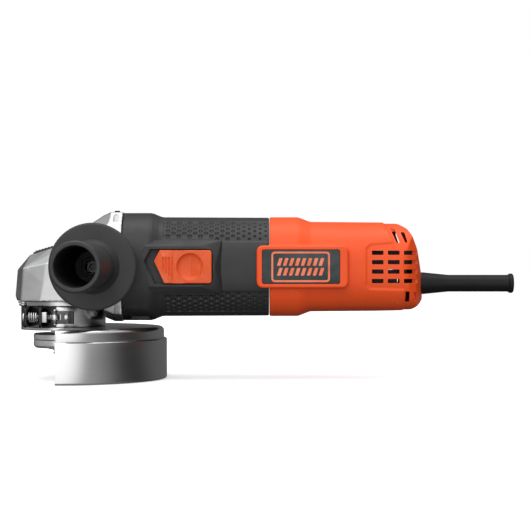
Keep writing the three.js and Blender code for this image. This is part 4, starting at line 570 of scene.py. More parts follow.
def gear_case_blank():
    """The case's outside as one solid: faceted head, flare, flange and the two handle bosses."""
    side, low, shoulder, width = HEAD_HALF_WIDTH, HEAD_LOW, AXIS_Z - 1.1, COLLAR_HALF[0]
    roof = lambda x, half_width: (x, half_width, head_top(x))
    front = [(NOSE + 0.8, 10, low), (NOSE, 10.5, low + 3.4), (NOSE + 1.4, 10.5, AXIS_Z - 2),
             (NOSE + 8.3, 9, AXIS_Z + 6.5)]
    flanks = [(NOSE + 6, side - 1.5, low), (NOSE + 7.5, side - 1.5, shoulder), (NOSE + 19, side + 1.3, low),
              (NOSE + 21.3, side + 1.6, AXIS_Z - 10.5), (NOSE + 22.5, side + 1.3, shoulder + 3),
              (14, side + 4, low), (14, side + 4, AXIS_Z + 5.5)]
    head = hull(both_sides(front + flanks + [roof(-20.2, 14), roof(-7, 17), roof(10, 19)]))
    flare_x, shoulder_x = FLANGE_FRONT - 5, FLANGE_FRONT + 3
    flare = hull(both_sides([
        (-2, side, low), (-2, side, shoulder), roof(-4, 17), (flare_x, width, low),
        (flare_x, width, CASE_TOP - 16.3), (flare_x + 1.4, 21, CASE_TOP - 6.3),
        (flare_x + 4, 20, CASE_TOP - 1.9), (shoulder_x + 0.5, 22, CASE_TOP), (shoulder_x, width, low),
        (shoulder_x, width, CASE_TOP - 13.8), (shoulder_x, width - 3, CASE_TOP - 7.5)]))
    outer, chamfer = flange_outline(), 2.4
    rings = [(CASE_REAR, outer), (FLANGE_FRONT + 3, [(-width, AXIS_Z), (width, AXIS_Z)]),
             (FLANGE_FRONT, [at for at in flange_outline(chamfer) if at[1] < AXIS_Z]),
             (FLANGE_FRONT + 6.4, [at for at in outer if at[1] < AXIS_Z]),
             (FLANGE_FRONT + 3.5, [at for at in outer if at[1] > AXIS_Z])]
    parts = [flare, hull([(x, y, z) for x, points in rings for y, z in points])]
    for way in (-1, 1):
        profile = [(0, 0), (20, 0), (20, way * 31), (16.5, way * 36), (14, way * 41),
                   (BOSS_RADIUS, way * (BOSS_END - 3)), (0, way * (BOSS_END - 3))]
        flank = lathe("y", profile, (HANDLE_X - 1, AXIS_Z), 72)
        parts.append(boolean(flank, [box(-90, CASE_REAR, -90, 90, HEAD_LOW, 140)], "INTERSECT"))
        parts.append(bar("y", BOSS_RADIUS, 0, way * BOSS_END, (HANDLE_X, AXIS_Z), 72))
    return softened(boolean(head, parts, "UNION"), 0.42, 5)


def gear_case_cutters():
    """The gear cavity, the bores, the button's slot, the screw holes, the side notches and the plug."""
    motor = (0, AXIS_Z)
    cutters = [
        bar("z", 26.7, HEAD_LOW - 9, 55.5, (0, 0), 72),
        bar("z", 6.6, 54.5, 62.8, (0, 0)),
        bar("x", 10.67, 11, CASE_REAR + 1, motor, 48),
        bar("x", 13.3, 28.2, CASE_REAR + 1, motor, 48),
        prism("y", button_outline(GAP, 20, 6.3), -6.3, 6.3),
        bar("z", 4, 58.5, 72.4, (LOCK_PIN_X, 0)),
        bar("z", 2.25, HEAD_LOW, 72.4, (LOCK_PIN_X, 0)),
    ]
    cutters += [bar("y", 4.3, way * HEAD_HALF_WIDTH, way * (BOSS_END + 1), (HANDLE_X, AXIS_Z))
                for way in (-1, 1)]
    cutters += [bar("z", 2.1, HEAD_LOW - 1, HEAD_LOW + 12, at) for at in CAP_SCREWS]
    for at in CASE_SCREWS:
        cutters.append(bar("x", 2.3, 26.3, CASE_REAR + 1, at))
        cutters.append(bar("x", 4.5, 31.3 - (16 if at[1] > AXIS_Z else 6), 31.3, at, 40))
    arch_z, foot_z, half = CASE_TOP - 3.4, CASE_TOP - 6.6, 2.0
    arch = [(NOTCH_X - half, foot_z), (NOTCH_X + half, foot_z)]
    arch += [(NOTCH_X + half * math.cos(a), arch_z + half * math.sin(a)) for a in
             (math.pi * k / 12 for k in range(13))]
    for way in (-1, 1):
        cutters.append(prism("y", arch, *sorted((way * 22, way * 40))))
    cutters.append(bar("z", 1.5, 90, 99, (PLUG_X, 0)))
    return cutters


def gear_case(paint):
    """The cut case, with the hollow behind its flange that leaves only a rim and the bores' walls."""
    case = boolean(gear_case_blank(), gear_case_cutters())
    rim = prism("x", flange_outline(5), FLANGE_FRONT + 3.5, CASE_REAR + 1)
    kept = [bar("x", 17, 0, CASE_REAR + 2, (0, AXIS_Z), 48),
            bar("y", BOSS_RADIUS, -BOSS_END, BOSS_END, (HANDLE_X, AXIS_Z), 48)]
    kept += [bar("x", 6, 0, CASE_REAR + 2, at) for at in CASE_SCREWS]
    case = boolean(case, [boolean(rim, kept)])
    piece(case, "gear_head", "base", paint["cast"], ["gear_case"], 40)


def lock_button(paint):
    """A plate with cross ribs that stands in a rimmed slot of the head's sloped top."""
    plate = bevelled(prism("y", rounded(button_outline(0, 1.5, 2.0), [0, 0, 0.8, 0.8]), -6, 6), 0.5)
    ribs = []
    for i in range(8):
        x = LOCK_PIN_X - 6.2 + i * 2.0
        ribs.append(bevelled(prism("y", [(x, head_top(x) + 0.8), (x + 1.1, head_top(x + 1.1) + 0.8),
                                         (x + 1.0, head_top(x + 1) + 2.15), (x + 0.1, head_top(x) + 2.15)],
                                   -5.0, 5.0), 0.2, 1))
    boolean(plate, ribs, "UNION")
    boolean(plate, [bar("z", 2.3, 59, head_top(LOCK_PIN_X) + 0.6, (LOCK_PIN_X, 0))])
    piece(plate, "lock_button_ribbed", "spindle_lock", paint["black"], ["lock_button"])


def bearing_cap(paint):
    low, top, bottom = 32.5, 35.7, 17.2
    rim, spigot = NECK_RADIUS + 1.8, NECK_RADIUS + 0.6
    profile = rounded([(12, bottom), (NECK_RADIUS, bottom), (NECK_RADIUS, low), (rim, low), (rim, top),
                       (spigot, top), (spigot, top + 2), (12, top + 2)], [0, 0.9, 0.4, 0.5, 0.5, 0, 0.4, 0])
    body = lathe("z", profile, steps=144)
    lugs = []
    for x, y in CAP_SCREWS:
        circle = arc_points((x, y), 3.6, 0, 345, 23)
        root = arc_points((0, 0), 3.6, 0, 330, 11)
        lugs.append(bevelled(hull([(u, v, z) for u, v in circle + root for z in (34.4, top)]), 0.3))
    floor = lathe("z", [(10.2, bottom), (14, bottom), (14, bottom + 3), (10.2, bottom + 3)], steps=72)
    boolean(body, lugs + [floor], "UNION")
    cutters = [bar("z", radius, start, end, at) for at in CAP_SCREWS
               for radius, start, end in ((3.7, 31, 34.4), (2.1, 20, 45))]
    cutters += [bar("z", 16.3, 17.5, 45, (0, 0), 96),
                lathe("z", [(18.8, 16), (23.3, 16), (23.3, low), (18.8, low)], steps=96)]
    piece(boolean(body, cutters), "bearing_cap_cast", "base", paint["cast"],
          ["bearing_cap"])


def screw(name, node, axis, head_radius, head_height, shank_radius, start, length, centre, way, body, paint,
          finish="steel", slots=3):
    """A pan-head screw with a star of crossing slots sunk into its head."""
    at = lambda distance: start + way * distance
    dome = [(head_radius * math.cos(a), at(head_height * 0.55 * (1 - math.sin(a)))) for a in
            (math.radians(k) for k in (90, 70, 52, 36, 20, 0))]
    profile = dome + [(head_radius, at(head_height)), (shank_radius, at(head_height))]
    turns = max(2, int((length - head_height) / 0.9))
    step = (length - head_height) / turns
    for i in range(turns):
        profile += [(shank_radius, at(head_height + (i + 0.1) * step)),
                    (shank_radius * 0.84, at(head_height + (i + 0.55) * step))]
    profile += [(shank_radius * 0.6, at(length)), (0, at(length))]
    body_mesh = lathe(axis, profile, centre, 32)
    for k in range(slots):
        angle = math.pi * k / slots
        reach, half = head_radius * 0.52, head_radius * 0.12
        corners = [(-reach, -half), (reach, -half), (reach, half), (-reach, half)]
        outline = [(u * math.cos(angle) - v * math.sin(angle) + centre[0],
                    u * math.sin(angle) + v * math.cos(angle) + centre[1]) for u, v in corners]
        boolean(body_mesh, [prism(axis, outline, *sorted((at(-1), at(head_height * 0.62))))])
    piece(body_mesh, name, body, paint[finish], [node])


def head_screws(paint):
    for i, at in enumerate(CAP_SCREWS):
        screw(f"cap_screw_{i + 1}_star", f"cap_screw_{i + 1}", "z", 3.1, 1.8, 1.8, 32.3, 13.9, at, 1,
              "base", paint, "bright")
    for i, at in enumerate(CASE_SCREWS):
        screw(f"case_screw_{i + 1}_star", f"case_screw_{i + 1}", "x", 3.8, 2.6, 2, 28.4, 21.9, at, 1,
              "base", paint)


def top_plug(paint):
    low, seat, high = CASE_TOP - 3, CASE_TOP + GAP, CASE_TOP + 1.6
    profile = rounded([(0, low), (1.2, low), (1.2, seat), (1.8, seat), (1.8, high), (0, high)],
                      [0, 0.2, 0, 0.3, 0.5, 0])
    piece(lathe("z", profile, (PLUG_X, 0), 32), "top_plug_soft", "base", paint["rubber"],
          ["top_plug"])


# ------------------------------------------------------------------ spindle line
def spindle_line(paint):
    """The threaded spindle, the flange behind the disc and the pinned lock nut below it."""
    thread = [(0, 0.0), (6.2, 0.0)]
    pitch = 2.0
    turns = 7
    tooth = ((6.95, 0.6), (6.95, 1.0), (6.2, 1.8), (6.2, 2.2))
    for i in range(turns):
        thread += [(radius, rise + i * pitch) for radius, rise in tooth]
    profile = thread + [(7, 14.5), (9.2, 14.6), (9.2, 17.5), (7.5, 17.6), (7.5, 53.0), (4, 53.1), (4, 61.6),
                        (3.4, 62.2), (0, 62.2)]
    shaft = lathe("z", profile, steps=72)
    boolean(shaft, [box(7.9, 12, -12, 12, 14.6, 17.5), box(-12, -7.9, -12, 12, 14.6, 17.5)])
    piece(shaft, "spindle_threaded", "spindle", paint["bright"], ["spindle"])
    flange = rounded([(7.3, 10.1), (19.9, 10.1), (19.9, 13.4), (19.1, 14.2), (7.3, 14.2)],
                     [0.3, 0.4, 0.4, 0.4, 0.3])
    ring = lathe("z", flange, steps=128)
    boolean(ring, [lathe("z", [(11.5, 9), (17.6, 9), (17.6, 10.8), (11.5, 10.8)], steps=96)])
    piece(ring, "backing_flange_turned", "spindle", paint["flange"], ["backing_flange"])
    nut = lathe("z", rounded([(7.3, 3.4), (10, 3.4), (10, 4.5), (18.3, 4.5), (19.9, 6.1), (19.9, 9.8),
                              (7.3, 9.8)],
                             [0.3, 0.4, 0.3, 0.3, 0.3, 0.4, 0.3]), steps=128)
    ring_radius = 14.95
    holes = [bar("z", 2.4, 3, 7.6, (ring_radius * math.cos(a), ring_radius * math.sin(a))) for a in
             (math.pi * k / 2 for k in range(4))]
    piece(boolean(nut, holes), "lock_nut_pinned", "spindle", paint["flange"], ["lock_nut"])


# ------------------------------------------------------------------ guard
def behind_cut(obj):
    return boolean(obj, [box(GUARD_CUT_X, 120, -120, 120, -60, 60)], "INTERSECT")


def arc_points(centre, radius, start, end, steps):
    return [(centre[0] + radius * math.cos(math.radians(start + (end - start) * k / steps)),
             centre[1] + radius * math.sin(math.radians(start + (end - start) * k / steps)))
            for k in range(steps + 1)]


def guard(paint):
    """The dish with its rolled edge and collar, and the skirt with its inner lip."""
    bend, sheet, wall_low = 2.8, 2.0, 8.0
    centre = (GUARD_RADIUS - bend, GUARD_TOP - bend)
    outside = arc_points(centre, bend, 90, 0, 10)
    inside = arc_points(centre, bend - sheet, 0, 90, 10)
    profile = [(BAND_INNER, GUARD_TOP - sheet), (BAND_INNER, GUARD_TOP)] + outside
    profile += [(GUARD_RADIUS, wall_low), (GUARD_RADIUS - sheet, wall_low)] + inside
    dish = behind_cut(lathe("z", profile, steps=256))
    collar = lathe("z", rounded([(BAND_INNER, GUARD_TOP - sheet), (BAND_OUTER, GUARD_TOP - sheet),
                                 (BAND_OUTER, GUARD_TOP), (BAND_INNER, GUARD_TOP)], 0.3), steps=160)
    boolean(dish, [collar], "UNION")
    piece(bevelled(dish, 0.25, 2, 40), "guard_dish", "guard", paint["guard"],
          ["guard_plate"])
    outer, inner, lip = SKIRT_OUTER, 67.5, 1.2
    skirt = [(inner, SKIRT_TOP)] + [(outer - 0.5, SKIRT_TOP), (outer, SKIRT_TOP - 0.5)]
    skirt += arc_points((outer - 1.4, SKIRT_BOTTOM + 1.4), 1.4, 0, -90, 5)
    skirt += [(inner - lip, SKIRT_BOTTOM), (inner - lip, SKIRT_BOTTOM + lip), (inner, SKIRT_BOTTOM + lip)]
    wall = bevelled(behind_cut(lathe("z", skirt, steps=256)), 0.2, 2, 40)
    piece(wall, "guard_wall", "guard", paint["guard"], ["guard_skirt"])


def guard_band(paint):
    """The clamp's band round the neck, open between its two ears."""
    ring = lathe("z", rounded([(BAND_INNER, BAND_BOTTOM), (BAND_OUTER, BAND_BOTTOM), (BAND_OUTER, BAND_TOP),
                               (BAND_INNER, BAND_TOP)], 0.35), steps=200)
    boolean(ring, [box(OUTER_EAR_X + EAR, INNER_EAR_X, -40, -9, 0, 60)])
    ears = []
    tip, low, high = -35.5, BAND_BOTTOM, BAND_TOP - 0.6
    for x in (OUTER_EAR_X, INNER_EAR_X):
        root = -math.sqrt(BAND_OUTER ** 2 - x ** 2) + 0.8
        outline = rounded([(tip, low), (root, low), (root, high), (tip, high)], [2, 0, 0, 2])
        ears.append(bevelled(prism("x", outline, x, x + EAR), 0.3))
    boolean(ring, ears, "UNION")
    boolean(ring, [bar("x", 2.1, OUTER_EAR_X - 3, INNER_EAR_X + 4, (CLAMP_Y, CLAMP_Z)),
                   bar("z", BAND_INNER, 0, 60, (0, 0), 200)])
    piece(ring, "guard_band_rolled", "guard", paint["band"], ["guard_band"])


def clamp(paint):
    """The clamp's domed bolt with its eye, spring and square nut, the lever's pin and the cam lever."""
    start, eye_x = OUTER_EAR_X - GAP - 1.5, CLAMP_EYE_X
    dome = [(3 * math.cos(a), start + 1.5 * (1 - math.sin(a)) * 0.8) for a in
            (math.radians(k) for k in (90, 65, 45, 25, 0))]
    profile = dome + [(3, start + 1.5), (1.8, start + 1.5)]
    for i in range(17):
        profile += [(1.8, start + 2 + i), (1.55, start + 2.5 + i)]
    profile += [(1.8, eye_x - 2.6), (0, eye_x - 2.6)]
    bolt = lathe("x", profile, (CLAMP_Y, CLAMP_Z), 40)
    boolean(bolt, [bevelled(bar("z", 3, CLAMP_Z - 1.8, CLAMP_Z + 1.8, (eye_x, CLAMP_Y), 40), 0.3)], "UNION")
    boolean(bolt, [bar("z", 1.6, 0, 60, (eye_x, CLAMP_Y))])
    piece(bolt, "clamp_bolt", "guard", paint["bright"], ["clamp_screw"])
    coil = []
    turns, radius = 4, 2.95
    first, last = OUTER_EAR_X + EAR + 0.4, INNER_EAR_X - 0.7
    for i in range(turns * 24 + 1):
        t = i / (turns * 24)
        angle = math.tau * turns * t
        coil.append((first + 0.45 + (last - first - 0.9) * t, CLAMP_Y + radius * math.cos(angle),
                     CLAMP_Z + radius * math.sin(angle)))
    piece(tube(coil, 0.42), "clamp_coil", "guard", paint["bright"], ["clamp_spring"])
    nut_x = INNER_EAR_X + EAR + GAP
    half = 3.4
    square = rounded_box(CLAMP_Y - half, CLAMP_Y + half, CLAMP_Z - half, CLAMP_Z + half, 0.5, 3)
    nut = bevelled(prism("x", square, nut_x, nut_x + 3), 0.35)
    piece(boolean(nut, [bar("x", 2.1, nut_x - 1, nut_x + 4, (CLAMP_Y, CLAMP_Z))]), "clamp_nut_square",
          "guard", paint["steel"],
          ["clamp_nut"])
    pin = bar("z", 1.3, 20.6, 30.6, (eye_x, CLAMP_Y), 32, 0.25)
    piece(pin, "clamp_pin", "guard", paint["bright"], ["clamp_lever_pin"])
    low, high, y = CLAMP_Z - 4.2, CLAMP_Z + 4.2, CLAMP_Y
    arm = rounded([(eye_x, y - 2.6), (eye_x + 9, y - 2.6), (eye_x + 12, y - 4.4), (eye_x + 13, y - 3),
                   (eye_x + 9.5, y - 0.4), (eye_x, y - 0.4)], [0, 1.5, 0.6, 0.6, 1.5, 0])
    lever = boolean(bar("z", 3.2, low, high, (eye_x, y), 48), [prism("z", arm, low, high)], "UNION")
    bevelled(lever, 0.35)
    boolean(lever, [box(eye_x - 5, eye_x + 4.2, y - 9, y + 9, CLAMP_Z - 2.1, CLAMP_Z + 2.1),
                    bar("z", 1.6, 0, 60, (eye_x, y)), bar("y", 1.8, y - 9, y + 9, (eye_x + 8, CLAMP_Z))])
    piece(lever, "clamp_cam_lever", "clamp_lever", paint["dark"], ["clamp_lever"])


# ------------------------------------------------------------------ side handle
def handle(paint):
    """The hollow side handle with its flange, and the bolt that holds it."""
    tip, face, back = HANDLE_TIP, HANDLE_FACE, HANDLE_BACK
    neck, end, bore, floor_radius, floor_y = 14.0, 15.3, 12.2, 10.4, -60.0
    profile = [(4.3, back), (FLANGE_RADIUS - 3, back), (FLANGE_RADIUS, back - 3),
               (FLANGE_RADIUS, face + 0.6),
               (FLANGE_RADIUS - 1.2, face), (neck + 3.4, face), (neck, face - 4.5), (neck, face - 20),
               (end, face - 48)]
    radii = [0.3, 1, 1.2, 0.6, 0.8, 0, 4, 6, 6]
    profile += [(end, face - 80), (end, tip + 0.9), (end - 0.9, tip), (bore + 0.5, tip), (bore, tip + 0.6),
                (floor_radius, floor_y), (6.2, floor_y), (6.2, floor_y + 1.2), (4.3, floor_y + 1.2)]
    radii += [0.4, 0.5, 0.5, 0.3, 0.3, 0.8, 0.2, 0, 0]
    grip = lathe("y", rounded(profile, radii, 4), (HANDLE_X, AXIS_Z), 144)
    piece(grip, "side_handle", "base", paint["handle"], ["handle_grip"])
    stud = bar("y", 4, -51, -31, (HANDLE_X, AXIS_Z), 48, 0.4)
    hexagon = [(HANDLE_X + 2.4 * math.cos(a), AXIS_Z + 2.4 * math.sin(a)) for a in
               (math.tau * k / 6 for k in range(6))]
    piece(boolean(stud, [prism("y", hexagon, -53, -47)]), "handle_bolt", "base", paint["dark"],
          ["handle_stud"])


# ------------------------------------------------------------------ motor housing
DIMPLE_COLUMN = 3.54
DIMPLE_PITCH = 4.09
DIMPLE_FIRST_X = 71.6
DIMPLE_ROW_S = 20.6     # a row's distance from the middle of the side, along the section
PANEL_TOP_S = 34.5
PANEL_LOW_S = 18.6
PANEL_LOW_REAR_S = 16.2
PANEL_STEP_X = 103.0
PANEL_START_X = 68.2
PANEL_DEPTH = 0.5


def housing_stations(grow=0.0):
    start, mid, end = COLLAR_HALF, GRIP_HALF, GRIP_END_HALF
    return [(COLLAR_START, start[0] + grow, start[1] + grow),
            (COLLAR_END - 1, start[0] + grow, start[1] + grow),
            (COLLAR_END + 1, start[0] + grow - 0.45, start[1] + grow - 0.42),
            (GRIP_START - 1, mid[0] + grow + 0.45, mid[1] + grow + 0.42),
            (GRIP_START + 1, mid[0] + grow, mid[1] + grow),
            (GRIP_END - 0.7, end[0] + grow, end[1] + grow),
            (GRIP_END, end[0] + grow - 0.5, end[1] + grow - 0.5)]


def grip_depth(x, s, z):
    """How far the grip's surface sinks: textured panels with round dimples in a hexagonal layout."""
    a = np.abs(s)
    low = PANEL_LOW_S if x < PANEL_STEP_X else PANEL_LOW_REAR_S
    inside = smoothstep(low, low + 0.7, a) * (1 - smoothstep(PANEL_TOP_S - 0.7, PANEL_TOP_S, a))
    inside = inside * float(smoothstep(PANEL_START_X, PANEL_START_X + 0.7, x))
    sink = PANEL_DEPTH * inside
    column = round((x - DIMPLE_FIRST_X) / DIMPLE_COLUMN)
    for k in (column - 1, column, column + 1):
        if not 0 <= k <= 18:
            continue
        centre_x = DIMPLE_FIRST_X + k * DIMPLE_COLUMN
        radius = float(np.interp(centre_x, [71, 104, 136], [1.75, 1.6, 0.75]))
        offset = DIMPLE_ROW_S + (DIMPLE_PITCH / 2 if k % 2 else 0.0)
        row = np.round((a - offset) / DIMPLE_PITCH)
        centre_s = offset + row * DIMPLE_PITCH
        fits = (centre_s > low + 0.9) & (centre_s < PANEL_TOP_S - 0.9)
        distance = np.hypot(a - centre_s, x - centre_x) / radius
        sink = sink + np.where(fits, 1.0 * np.clip(1 - distance ** 2, 0, 1), 0)
    return sink


def slider_outline(margin, extra=0.0):
    front, tip = SLIDER_FRONT - extra - margin, SLIDER_TIP_Z
    low, high, rear = SLIDER_LOW - margin, SLIDER_TOP + margin, SLIDER_REAR + margin
    return [(front, tip), (front + 6.7, low), (rear, low), (rear, high), (front + 3.8, high)]


def surround():
    """The raised frame of the switch: bevelled above and below, fading out to the rear in an arc."""
    wide = slider_outline(6.5, 2)
    lip_low, lip_high = SLIDER_LOW - 2.3, SLIDER_TOP + 2.6
    front = SLIDER_FRONT - 8.0
    narrow = [(front - 2, SLIDER_TIP_Z), (front + 4.5, lip_low), (front + 2, lip_high)]
    arc = [(93.0, lip_high), (97.6, 69.6), (101.0, 65.4), (102.4, 58.5), (101.0, 51.6), (97.6, 47.4),
           (93.0, lip_low)]
    points = [(x, -(SURROUND_Y - 3.2), z) for x, z in wide] + [(x, -27.4, z) for x, z in wide]
    points += [(x, -SURROUND_Y, z) for x, z in narrow + arc]
    return bevelled(hull(points), 0.35, 2, 12)


def pocket():
    """The cutter of the slider's pocket, a little wider at its mouth."""
    outline = rounded(slider_outline(GAP + 0.1, SLIDER_TRAVEL), [1.5, 0.8, 1.6, 1.6, 0.8])
    straight = prism("y", outline, -60, -POCKET_FLOOR_Y)
    mouth = slider_outline(GAP + 0.1, SLIDER_TRAVEL)
    wide = slider_outline(GAP + 1.4, SLIDER_TRAVEL)
    flare = hull([(x, -(SURROUND_Y - 0.5), z) for x, z in mouth]
                 + [(x, -(SURROUND_Y + 0.8), z) for x, z in wide])
    return [straight, flare]


def motor_housing(paint):
    """The black skin with its textured panels, hollow, with the switch's pocket and the bearing cup."""
    xs = np.concatenate([np.arange(COLLAR_START, COLLAR_END - 1, 2.0),
                         np.arange(COLLAR_END - 1, DIMPLE_FIRST_X - 4, 0.5),
                         np.arange(DIMPLE_FIRST_X - 4, GRIP_END, 0.5), [GRIP_END]])
    xs[0] = COLLAR_START
    outer = grid_solid(skin_grid(housing_stations(), xs, 210, grip_depth))
    inner_stations = [(x, w - WALL, h - WALL) for x, w, h in housing_stations()]
    inner_xs = [COLLAR_START - 1, COLLAR_END, GRIP_START, GRIP_END - 3]
    inner = grid_solid(skin_grid(inner_stations, inner_xs, 60))
    boolean(outer, [inner])
    boolean(outer, [surround()], "UNION")
    cup = bar("x", 13.7, GRIP_END - 3, 145, (0, AXIS_Z), 64)
    boolean(outer, [cup], "UNION")
    cutters = [bar("x", 11.3, GRIP_END - 4, 142.9, (0, AXIS_Z), 64)] + pocket()
    cutters += [box(GRIP_END - 4, GRIP_END + 1, -12, 12, *sorted((AXIS_Z + way * 16, AXIS_Z + way * 28.4)))
                for way in (-1, 1)]
    cutters.append(box(GRIP_END - 4, GRIP_END + 1, -27.3, -24.7, 65.7, 71.3))
    cutters.append(box(84.5, 94.6, -31, -26, 65.7, 71.3))
    for way in (-1, 1):
        low = AXIS_Z - COLLAR_HALF[1]
        cutters.append(box(COLLAR_START + 4.4, COLLAR_START + 16.6, *sorted((way * 14, way * 40)),
                           low + 1.1, low + 3.4))
    boolean(outer, cutters)
    piece(outer, "motor_shell", "base", paint["black"], ["motor_housing"], 35)


def slider(paint):
    """The switch's slider: chamfered, with a thumb bowl, a shallow valley and grip grooves."""
    outline = rounded(slider_outline(0), [1.2, 0.6, 1.8, 1.8, 0.6])
    body = bevelled(prism("y", outline, -SLIDER_FACE_Y, -SLIDER_INNER_Y), 1.3, 3, 25)
    face = -SLIDER_FACE_Y
    thumb_x, thumb_z = 86.8, 58.4
    bowl = lathe("y", [(0, 1.7), (6.3, 1.7), (7.6, 1.35), (8.6, 0.6), (9.3, -0.6), (9.6, -2.5), (0, -2.5)],
                 (0, 0), 96)
    bowl.data.transform(Matrix.Translation(Vector((thumb_x, face, thumb_z)) * MM)
                        @ Matrix.Rotation(math.radians(-7.5), 4, "Z"))
    valley = bar("z", 26.0, SLIDER_LOW - 2, SLIDER_TOP + 2, (79.0, face - 25.55), 240)
    boolean(body, [bowl, valley])
    grooves = []
    for i in range(4):
        x = SLIDER_REAR - 13.4 + i * 2.05
        grooves.append(bar("z", 0.5, SLIDER_LOW + 4.6, SLIDER_TOP - 4.8,
                           (x, face + 0.35 + 0.9 * (1 - i / 4)), 16))
        front = SLIDER_FRONT + 6.0 + i * 1.95
        grooves.append(bar("z", 0.5, SLIDER_TOP - 13.2 - i * 1.9, SLIDER_TOP - 4.4, (front, face + 0.05),
                           16))
    peg = box(90, 94.6, -32.4, -28, 65.7, 71.3)
    boolean(body, grooves)
    boolean(body, [peg])
    piece(body, "slider_grip", "switch", paint["slider"], ["switch_slider"], 30)


# ------------------------------------------------------------------ rear housing
VENT_LINE = [(213.3, 96.0), (213.3, 86.7), (218.5, 74.7), (203.5, 73.4), (200.6, 70.4), (200.6, 46.0),
             (203.0, 43.6),
             (225.8, 42.9), (226.2, 31.1), (226.2, 18.0)]


def rear_stations():
    a, b, c = GRIP_HALF, REAR_HALF, REAR_END_HALF
    return [(REAR_START, a[0] - 0.4, a[1] - 0.4), (REAR_START + 0.5, a[0], a[1]),
            (REAR_SLOPE_START - 0.3, a[0], a[1]),
            (REAR_SLOPE_START + 0.3, a[0] - 0.08, a[1] - 0.12),
            (REAR_SLOPE_END - 0.3, b[0] + 0.08, b[1] + 0.12),
            (REAR_SLOPE_END + 0.4, b[0], b[1]), (REAR_END, c[0], c[1])]


def distance_to_line(x, z, line):
    """Distance from points to a polyline, and whether each point lies on its rear side."""
    best = np.full(np.shape(z), 1e9)
    for (x0, z0), (x1, z1) in zip(line, line[1:]):
        dx, dz = x1 - x0, z1 - z0
        t = np.clip(((x - x0) * dx + (z - z0) * dz) / (dx * dx + dz * dz), 0, 1)
        best = np.minimum(best, np.hypot(x - x0 - t * dx, z - z0 - t * dz))
    corners = line + [(300.0, line[-1][1]), (300.0, line[0][1])]
    inside = np.zeros(np.shape(z), dtype=bool)
    for (x0, z0), (x1, z1) in zip(corners, corners[1:] + corners[:1]):
        crosses = (z0 > z) != (z1 > z)
        with np.errstate(divide="ignore", invalid="ignore"):
            at = x0 + (z - z0) * (x1 - x0) / (z1 - z0)
        inside ^= crosses & (x < at)
    return np.where(inside, best, -best)


def rear_depth(x, s, z):
    """The vent panel lies a little lower than the rest of the rear housing, behind a soft step."""
    if x < 196:
        return np.zeros(np.shape(z))
    return 0.75 * smoothstep(-0.2, 0.9, distance_to_line(x, z + AXIS_Z, VENT_LINE))


def tail_plan(shrink=0.0):
    """The rounded tail seen from above, as (X, Y) corners, moved inwards by shrink."""
    side, end = 29.5 - shrink, REAR_END - shrink
    half = [(end - 80, side + 8), (end - 22, side), (end - 12, side - 2.5), (end - 6, side - 9),
            (end - 3, side - 18),
            (end - 0.6, 2.5)]
    return half + [(x, -y) for x, y in reversed(half)]


def trim_tail(body, shrink=0.0):
    keep_front = box(REAR_START - 9, REAR_END - 60, -60, 60, 0, 120)
    side = prism("y", rounded(tail_side(shrink), 3.0, 4), -60, 60)
    plan = prism("z", rounded(tail_plan(shrink), [0] + [6] * 4 + [1.5] * 2 + [6] * 4 + [0], 5), 0, 120)
    keep = boolean(side, [plan], "INTERSECT")
    boolean(keep, [keep_front], "UNION")
    return boolean(body, [keep], "INTERSECT")


def tail_side(shrink=0.0):
    """The rounded tail seen from the side, as (X, Z) corners, moved inwards by shrink."""
    shape = [(-80, -31), (-11.5, -28.9), (-8, -28.4), (-2.6, -24), (0, -21), (0, -11.5), (-2.2, -1),
             (-5, 11),
             (-9, 20.5), (-12, 25), (-17, 28.2), (-21, 29.3), (-80, 31)]
    return [(REAR_END + x - shrink, AXIS_Z + z * (1 - shrink / 30)) for x, z in shape]


def badge_outline(margin, radius):
    """The pocket inside the badge frame, or a smaller rectangle within it."""
    return rounded_box(BADGE_X0 + BADGE_RIM + margin, BADGE_X1 - BADGE_REAR_RIM - margin,
                       BADGE_Z0 + BADGE_HIGH_RIM + margin, BADGE_Z1 - BADGE_HIGH_RIM - margin, radius, 5)


def badge_frame():
    low = bevelled(prism("y", rounded_box(BADGE_X0, BADGE_X1, BADGE_Z0, BADGE_Z1, 4.6, 8), -BADGE_Y, -27.5),
                   0.9, 3, 40)
    keep = grid_solid(skin_grid([(x, w + GAP, h + GAP) for x, w, h in housing_stations()],
                                [COLLAR_START, GRIP_END - 1, GRIP_END + GAP], 90))
    return boolean(low, [keep])


def vent_cutters():
    """Four rows of level slots, and two slanted slots above and two upright ones below them."""
    y0, y1 = -50, -REAR_HALF[0] + 12
    cutters = []
    columns = [(-35.7, -28.1), (-25.3, -17.6), (-14.8, -4.4)]
    for row in range(4):
        top = AXIS_Z + 10.5 - row * 6.15
        for start, end in columns:
            outline = rounded_box(REAR_END + start, REAR_END + end, top - 2.8, top, 0.5, 3)
            cutters.append(prism("y", outline, y0, y1))
    slanted = [[(-19.4, 15.6), (-17.2, 15.6), (-20.6, 25.4), (-23.4, 25.4)],
               [(-13.8, 15.8), (-12.2, 15.8), (-14.0, 22.6), (-16.6, 22.6)],
               [(-13.6, -23.6), (-10.8, -23.6), (-10.8, -16.2), (-13.6, -16.2)],
               [(-8.4, -21.5), (-6.2, -21.5), (-6.2, -16.6), (-8.4, -16.6)]]
    cutters += [prism("y", rounded([(REAR_END + x, AXIS_Z + z) for x, z in shape], 0.4, 2), y0, y1)
                for shape in slanted]
    return cutters


SHELL_SCREWS = [(151.9, 83.5), (151.9, 33.5), (199.9, 36.5)]


